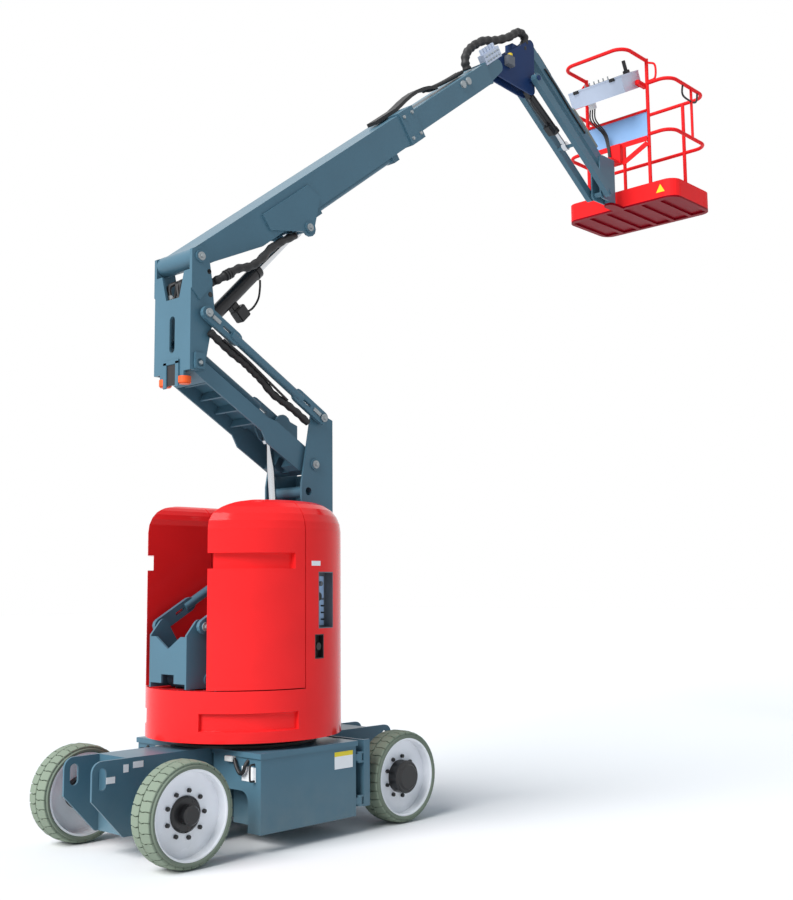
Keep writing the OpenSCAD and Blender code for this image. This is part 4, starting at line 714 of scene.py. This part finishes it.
for i in range(boot_rings):
    ring = prism(boss_sides, boot_r, boot_step * boot_share)
    boots.append(facing(ring, boot_foot + i * boot_step * boot_way, boot_way))
set_piece("hose_boot", joined("hose_boot", *boots), black_plastic, "upright")

# The boom's collar: plated bolts that set the wear pads, on both sides of the outer boom's
# mouth, and round pads on the sides of the fly section near its fork.
collar_y, pad_bolt_r, pad_bolt_h = 0.154, 0.014, 0.012
tip_pad_r, tip_pad_h, tip_pad_n, tip_pad_y = 0.03, 0.014, -0.02, 0.12
pad_bolts = []
for u in (2.33, 2.435):
    for n in (0.025, -0.14):
        for s in (-1, 1):
            head = prism(hex_sides, pad_bolt_r, pad_bolt_h)
            pad_bolts.append(facing(head, boom_at(u, n, s * collar_y), (0, s, 0)))
set_piece("pad_bolts", joined("pad_bolts", *pad_bolts), zinc, "boom")
tip_bolts = [facing(prism(boss_sides, tip_pad_r, tip_pad_h), boom_at(u, tip_pad_n, s * tip_pad_y), (0, s, 0))
             for u in (3.2, 3.28) for s in (-1, 1)]
set_piece("tip_pads", joined("tip_pads", *tip_bolts), zinc, "fly")

# The hose carrier's tail: three hoses side by side that leave the carrier and lie on the
# fly section.
tail_r, tail_y, tail_from, tail_to = 0.015, (-0.03, 0.0, 0.03), 2.9, 3.38
tail_line = [(tail_from, 0.078), (3.0, 0.068), (3.12, 0.058), (3.25, 0.052), (tail_to, 0.05)]
tails = [tube_mesh([boom_at(u, n, y) for u, n in tail_line], tail_r, steps=6) for y in tail_y]
set_piece("carrier_tail", joined("carrier_tail", *tails), hose_black,
          ("boom", "fly", boom_at(tail_from, 0, 0), boom_at(tail_to, 0, 0)), hose_sharp)

# The valve block at the boom's tip: a drilled alloy block on the right plate of the fly's
# fork, with a row of solenoids on top, plugs in its face and a capped port on the knuckle.
valve_from, valve_to, valve_high, valve_in, valve_out = 3.61, 3.86, 0.088, -0.057, -0.118
valve_mid, valve_y = (valve_from + valve_to) / 2, (valve_in + valve_out) / 2
coil_count, coil_sides, coil_r, coil_h, coil_step, coil_sink = 5, 20, 0.0165, 0.04, 0.044, 0.001
body_bevel = 0.003
boom_turn = Matrix.Rotation(-boom_angle, 4, "Y")
valve_body = box_mesh((valve_to - valve_from, valve_in - valve_out, valve_high), body_bevel)
valve_body.transform(Matrix.Translation(boom_at(valve_mid, valve_high / 2, valve_y)) @ boom_turn)
coil_from = boom_at(valve_mid - 2 * coil_step, valve_high - coil_sink, valve_y)
coil = facing(prism(coil_sides, coil_r, coil_h), coil_from, boom_up)
coils = repeated(coil, row_tree, bare_alloy, coil_count, coil_step * boom_along, (0, 0, 0))
tip_valve = set_piece("tip_valve", joined("tip_valve", valve_body, coils), bare_alloy, "fly")
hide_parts("valve_block")
plug_r, plug_h, plug_rows = 0.009, 0.01, (0.022, 0.06)
plugs = [facing(prism(hex_sides, plug_r, plug_h), boom_at(valve_mid + coil_step * i, n, valve_out),
                (0, -1, 0)) for i in (-2, -1, 0, 1, 2) for n in plug_rows]
set_piece("valve_plugs", joined("valve_plugs", *plugs), zinc, "fly")
port_place, port_y = Vector((2.715, 0, 5.775)), -0.052
port_w, port_t, port_bevel = 0.085, 0.05, 0.004
port = box_mesh((port_w, port_t, port_w), port_bevel)
port.transform(Matrix.Translation(port_place + Vector((0, port_y - port_t / 2, 0))))
set_piece("knuckle_port", port, panel_grey, "jib_knuckle")
cap_yellow = surface("cap_yellow", (0.7, 0.5, 0.02), 0.45)
port_cap_r, port_cap_h, port_cap_out, port_cap_rise = 0.021, 0.022, 0.03, 0.042
port_cap_at = port_place + Vector((0, port_y - port_cap_out, port_cap_rise))
port_cap = facing(prism(boss_sides, port_cap_r, port_cap_h), port_cap_at, (0, 0, 1))
set_piece("port_cap", port_cap, cap_yellow, "jib_knuckle")

# The hoses at the boom's tip: a thick tied bundle that rises from the fly section, lies over
# the valve block and goes into the jib's knuckle.
jib_high = Vector((3.046276, 0, 6.039074))
bundle_r, bundle_y = 0.034, -0.02
fly_route = ((3.47, 0.04), (3.48, 0.09), (3.53, 0.145), (3.61, 0.168), (3.7, 0.175))
knuckle_route = ((2.44, 5.875), (2.55, 5.915), (2.67, 5.968), (2.8, 6.04), (2.88, 6.1), (2.945, 6.125),
                 (3.0, 6.1), (2.99, 6.03), (2.95, 5.95))
bundle_points = [boom_at(u, n, bundle_y) for u, n in fly_route]
bundle_points += [Vector((x, bundle_y, z)) for x, z in knuckle_route]
bundle = tube_mesh(bundle_points, bundle_r, steps=8, swell=lump, waves=17)
set_piece("tip_bundle", bundle, hose_black, ("fly", "jib_knuckle", boom_at(3.6, 0.15, 0), (2.8, 0, 6.0)),
          hose_sharp)

# The jib's lines: thin hoses clipped to the upper link, a light sleeve at its lower
# end, and the block of the jib cylinder.
jib_drop = math.radians(34.4)
jib_way = Vector((math.cos(jib_drop), 0, -math.sin(jib_drop)))
jib_up = Vector((math.sin(jib_drop), 0, math.cos(jib_drop)))


def jib_at(t, n, y):
    """A point along the upper jib link, above it and to one side."""
    return jib_high + t * jib_way + n * jib_up + Vector((0, y, 0))


side_route = ((0.25, 0.0), (0.45, 0.006), (0.7, -0.004), (0.97, 0.0))
top_route = ((0.12, 0.056), (0.2, 0.057), (0.35, 0.054))
sleeve_route, top_y = ((0.74, 0.06), (0.8, 0.068), (1.0, 0.07), (1.18, 0.064)), -0.02
side_line_r, side_line_y, top_line_r, jib_sleeve_r = 0.008, 0.046, 0.011, 0.02
jib_lines = [tube_mesh([jib_at(t, n, y) for t, n in side_route], side_line_r)
             for y in (-side_line_y, side_line_y)]
jib_lines += [tube_mesh([jib_at(t, n, top_y) for t, n in top_route], top_line_r)]
set_piece("jib_lines", joined("jib_lines", *jib_lines), hose_black, "jib_link", hose_sharp)
sleeve_grey = surface("sleeve_grey", (0.2, 0.22, 0.2), 0.6, grain=400.0)
jib_sleeve = tube_mesh([jib_at(t, n, top_y) for t, n in sleeve_route], jib_sleeve_r)
set_piece("jib_sleeve", jib_sleeve, sleeve_grey, "jib_link", hose_sharp)
jib_base, jib_cyl_way = Vector((3.046276, 0, 5.644074)), Vector((0.858814, 0, -0.512288))
jib_cyl_side = Vector((-0.512288, 0, -0.858814))
block_size, block_bevel, block_along, block_out = (0.1, 0.06, 0.05), 0.004, 0.4, 0.052
block_at = jib_base + block_along * jib_cyl_way + block_out * jib_cyl_side
jib_cyl_turn = Matrix.Rotation(math.atan2(-jib_cyl_way.z, jib_cyl_way.x), 4, "Y")
jib_block = box_mesh(block_size, block_bevel)
jib_block.transform(Matrix.Translation(block_at) @ jib_cyl_turn)
feed_route = ((0.06, 0.04), (0.12, 0.065), (0.25, 0.062), (0.35, 0.06))
feed_off, feed_r = Vector((0, -0.01, 0)), 0.007
jib_feed = tube_mesh([jib_base + t * jib_cyl_way + n * jib_cyl_side + feed_off
                      for t, n in feed_route], feed_r)
set_piece("jib_valve", joined("jib_valve", jib_block, jib_feed), black_paint, "jib_barrel")

# The control box: a folded alloy case with a hinged lid, a black top sheet with a joystick,
# a stop knob and a row of switches, and a round plug with its cables below.
platform_x, floor_top = 4.442672, 4.95627
box_origin, box_tilt = Vector((platform_x - 0.29, 0, floor_top + 0.94)), math.radians(27)
box_x = Vector((math.cos(box_tilt), 0, math.sin(box_tilt)))
box_z = Vector((-math.sin(box_tilt), 0, math.cos(box_tilt)))
box_depth, box_half, box_height = 0.34, 0.285, 0.15


def box_at(x, y, z):
    """A point in the tilted box, from its low front edge."""
    return box_origin + x * box_x + Vector((0, y, 0)) + z * box_z


def box_part(size, x, y, z, bevel=0.002):
    """A block set square on the tilted box."""
    mesh = box_mesh(size, bevel)
    mesh.transform(Matrix.Translation(box_at(x, y, z)) @ Matrix.Rotation(-box_tilt, 4, "Y"))
    return mesh


lid_over, lid_t, lid_z, lid_bevel = 0.008, 0.014, box_height - 0.002, 0.003
lid = box_part((box_depth + lid_over, 2 * box_half + lid_over, lid_t), box_depth / 2, 0, lid_z, lid_bevel)
set_piece("box_lid", lid, bare_alloy, "platform")
hinge_size, hinge_x, hinge_z, hinge_ys = (0.014, 0.055, 0.028), -0.004, box_height - 0.01, (-0.19, 0.2)
hinges = [box_part(hinge_size, hinge_x, y, hinge_z) for y in hinge_ys]
top_size, top_z = (0.27, 0.5, 0.003), box_height + 0.006
top_sheet = box_part(top_size, box_depth / 2, 0, top_z, 0.0)
stick_x, stick_y, stick_z, stick_r, stick_h = 0.24, -0.22, box_height + 0.01, 0.017, 0.115
gaiter_r, gaiter_h = 0.032, 0.03
stick_boot = facing(prism(boss_sides, gaiter_r, gaiter_h), box_at(stick_x, stick_y, top_z), box_z)
stick = facing(prism(boss_sides, stick_r, stick_h), box_at(stick_x, stick_y, stick_z), box_z)
controls = joined("box_controls", top_sheet, stick_boot, stick, *hinges)
set_piece("box_controls", controls, black_plastic, "platform")
switch_count, switch_step, switch_sides, switch_r, switch_h = 6, 0.05, 12, 0.006, 0.03
switch = facing(prism(switch_sides, switch_r, switch_h), box_at(0.1, -0.1, box_height + 0.007), box_z)
switches = repeated(switch, row_tree, zinc, switch_count, (0, switch_step, 0), (0, 0, 0))
set_piece("box_switches", switches, zinc, "platform")
stop_red = surface("stop_red", (0.7, 0.01, 0.01), 0.35)
knob_r, knob_h, knob_y = 0.021, 0.026, 0.2
knob = facing(prism(round_sides, knob_r, knob_h), box_at(stick_x, knob_y, top_z), box_z)
set_piece("box_stop", knob, stop_red, "platform")
plug_white = surface("plug_white", (0.66, 0.67, 0.66), 0.45)
box_plug_r, box_plug_h, box_plug_at = 0.036, 0.055, (0.08, 0.12, 0.001)
plug = facing(prism(round_sides, box_plug_r, box_plug_h), box_at(*box_plug_at), -box_z)
set_piece("box_plug", plug, plug_white, "platform")
cable_r, cable_ys = 0.007, (0.1, 0.125, 0.15)
cable_route = ((0.19, 1.0, 0.82), (0.075, 0.6, 0.7), (0.075, 0.3, 0.5), (0.07, 0.3, 0.42))
box_cables = [tube_mesh([box_at(0.08, y, -0.04)] + [(platform_x - back, share * y, floor_top + up)
                                                    for back, share, up in cable_route], cable_r)
              for y in cable_ys]
set_piece("box_cables", joined("box_cables", *box_cables), hose_black, "platform", hose_sharp)

# The platform's sheet and rails: red tubes edge the front sheet, flat braces run from the
# column to the posts, hand loops hang from the rails and a wire mesh is welded to the floor.
rail_top, post_y, sheet_low, sheet_high = floor_top + 1.11, 0.33, floor_top + 0.588, floor_top + 0.844


def beam(a, b, width, thick):
    """A flat beam from a to b, wide across its length and upright."""
    span = Vector(b) - Vector(a)
    mesh = box_mesh((span.length, thick, width))
    turn = span.to_track_quat("X", "Z").to_matrix().to_4x4()
    mesh.transform(Matrix.Translation((Vector(a) + Vector(b)) / 2) @ turn)
    return mesh


sheet_x, brace_x, strip_z = platform_x - 0.008, platform_x - 0.012, sheet_low - 0.01
strip_w, strip_t, edge_tube_r, guard_r = 0.05, 0.008, 0.013, 0.01
column_y, brace_high, brace_low = 0.062, floor_top + 0.53, floor_top + 0.4
guard_route = ((0.025, 0.345, 0.2), (0.05, 0.4, 0.17), (0.05, 0.4, 0.05), (0.025, 0.345, 0.02))
edges = [tube_mesh([(sheet_x, -post_y, sheet_high), (sheet_x, post_y, sheet_high)], edge_tube_r, steps=2),
         beam((sheet_x, -post_y, strip_z), (sheet_x, post_y, strip_z), strip_w, strip_t)]
edges += [beam((brace_x, s * post_y, brace_high), (brace_x, s * column_y, brace_low), strip_w, strip_t)
          for s in (-1, 1)]
edges += [tube_mesh([(platform_x + x, s * y, rail_top + z) for x, y, z in guard_route], guard_r)
          for s in (-1, 1)]
set_piece("sheet_edges", joined("sheet_edges", *edges), red_enamel, "platform")
loop_y, loop_r = 0.568, 0.009
loop_route = ((0.25, -0.012), (0.235, -0.09), (0.28, -0.125), (0.44, -0.125), (0.5, -0.09), (0.52, -0.012))
loops = [tube_mesh([(platform_x + x, s * loop_y, rail_top + z) for x, z in loop_route], loop_r)
         for s in (-1, 1)]
set_piece("hand_loops", joined("hand_loops", *loops), black_plastic, "platform", hose_sharp)
wire, mesh_l, mesh_w = 0.004, 0.66, 1.12
across_count, across_step, along_count, along_step = 26, 0.042, 16, 0.041
strand = box_mesh((mesh_l, wire, wire), 0.0)
across = repeated(strand, row_tree, red_enamel, across_count, (0, across_step, 0),
                  (platform_x + 0.345, -0.525, floor_top + wire / 2))
strand = box_mesh((wire, mesh_w, wire), 0.0)
along = repeated(strand, row_tree, red_enamel, along_count, (along_step, 0, 0),
                 (platform_x + 0.0375, 0, floor_top + wire))
set_piece("floor_mesh", joined("floor_mesh", across, along), red_enamel, "platform")
sign_yellow = surface("sign_yellow", (0.75, 0.6, 0.02), 0.4)
sign_sides, sign_r, sign_t, quarter = 3, 0.05, 0.002, math.radians(-90)
sign = prism(sign_sides, sign_r, sign_t, quarter)
sign_turn = Matrix.Rotation(quarter, 4, "Y")
sign.transform(Matrix.Translation((platform_x - 0.0005, -0.44, floor_top + 0.065)) @ sign_turn)
set_piece("platform_sign", sign, sign_yellow, "platform")

# The ground controls: two pale sheets screwed into the pan, with a round knob and rows of
# plastic toggles that stand out of them.
pan_angle, pan_back = math.radians(-75), 0.534
pan_out = Vector((math.cos(pan_angle), math.sin(pan_angle), 0))
pan_across = Vector((-math.sin(pan_angle), math.cos(pan_angle), 0))
pan_pale = surface("pan_pale", (0.36, 0.5, 0.72), 0.4)
plate_white = surface("plate_white", (0.78, 0.8, 0.82), 0.42)


def pan_at(across, z):
    """A point in the control pan."""
    return pan_back * pan_out + across * pan_across + Vector((0, 0, z))


def pan_part(size, across, z, bevel=0.001):
    """A block set square in the control pan."""
    mesh = box_mesh(size, bevel)
    mesh.transform(Matrix.Translation(pan_at(across, z)) @ Matrix.Rotation(pan_angle, 4, "Z"))
    return mesh


pan_sheet_t, pan_sheet_w, pan_sheet_rows = 0.003, 0.12, ((0.13, 1.46), (0.15, 1.31))
sheets = [pan_part((pan_sheet_t, pan_sheet_w, height), 0, z) for height, z in pan_sheet_rows]
set_piece("pan_sheets", joined("pan_sheets", *sheets), pan_pale, "turret")
pan_knob_r, pan_knob_h, pan_knob_z = 0.024, 0.012, 1.405
toggle_sides, toggle_r, toggle_h, toggle_y, toggle_rows = 10, 0.005, 0.024, 0.03, (1.27, 1.31, 1.35)
knobs = [facing(prism(round_sides, pan_knob_r, pan_knob_h), pan_at(0, pan_knob_z), pan_out)]
knobs += [facing(prism(toggle_sides, toggle_r, toggle_h), pan_at(a, z), pan_out)
          for z in toggle_rows for a in (-toggle_y, toggle_y)]
set_piece("pan_switches", joined("pan_switches", *knobs), black_plastic, "turret")

# The plates: thin blank sheets riveted to the chassis, the right tray and the rear cover, where
# the machine carries its data plates.
frame_face, tray_end, tray_face, plate_t = -0.145, -0.36, -0.585, 0.002


def plate(size_x, size_y, size_z, centre):
    """One thin blank plate."""
    mesh = box_mesh((size_x, size_y, size_z), 0.0)
    mesh.transform(Matrix.Translation(centre))
    return mesh


frame_spots = ((-0.94, 0.492, 0.032, 0.042), (-0.862, 0.505, 0.066, 0.034), (-1.036, 0.44, 0.055, 0.034))
frame_plates = [plate(dx, plate_t, dz, (x, frame_face - plate_t / 2, z)) for x, z, dx, dz in frame_spots]
set_piece("frame_plates", joined("frame_plates", *frame_plates), plate_white, "chassis")
tray_plates = [plate(plate_t, 0.12, 0.08, (tray_end - plate_t / 2, -0.483, 0.426)),
               plate(0.148, plate_t, 0.072, (0.278, tray_face - plate_t / 2, 0.431))]
set_piece("tray_plates", joined("tray_plates", *tray_plates), plate_white, "tray_right")
tray_band = plate(0.148, plate_t, 0.026, (0.278, tray_face - plate_t / 2, 0.48))
set_piece("tray_band", tray_band, sign_yellow, "tray_right")
cover_plate = plate(plate_t, 0.075, 0.028, (0.593, 0, 1.6))
cover_plate.transform(Matrix.Rotation(math.radians(-85), 4, "Z"))
set_piece("cover_plate", cover_plate, plate_white, "turret")

# The trays' pull handles and charge leads: a bent rod on the end of each tray, and a black
# lead from a pale plug that hangs in a loop.
handle_y, handle_r, lead_r = 0.532, 0.006, 0.011
handle_route = ((0.001, 0.392), (-0.028, 0.394), (-0.034, 0.41), (-0.034, 0.465), (-0.028, 0.481),
                (0.001, 0.483))
lead_route = ((-0.012, 0.37, 0.5), (-0.022, 0.4, 0.46), (-0.022, 0.43, 0.428), (-0.022, 0.46, 0.44),
              (-0.02, 0.475, 0.475), (0.001, 0.478, 0.5))
socket_size, socket_bevel, socket_y, socket_z = (0.03, 0.07, 0.03), 0.003, 0.335, 0.5
for side, s in (("right", -1), ("left", 1)):
    handle = tube_mesh([(tray_end + x, s * handle_y, z) for x, z in handle_route], handle_r)
    lead = tube_mesh([(tray_end + x, s * y, z) for x, y, z in lead_route], lead_r)
    set_piece(f"tray_handle_{side}", joined("tray_handle", handle, lead), black_plastic, f"tray_{side}",
              hose_sharp)
    socket = box_mesh(socket_size, socket_bevel)
    socket.transform(Matrix.Translation((tray_end - socket_size[0] / 2, s * socket_y, socket_z)))
    set_piece(f"tray_plug_{side}", socket, plug_white, f"tray_{side}")
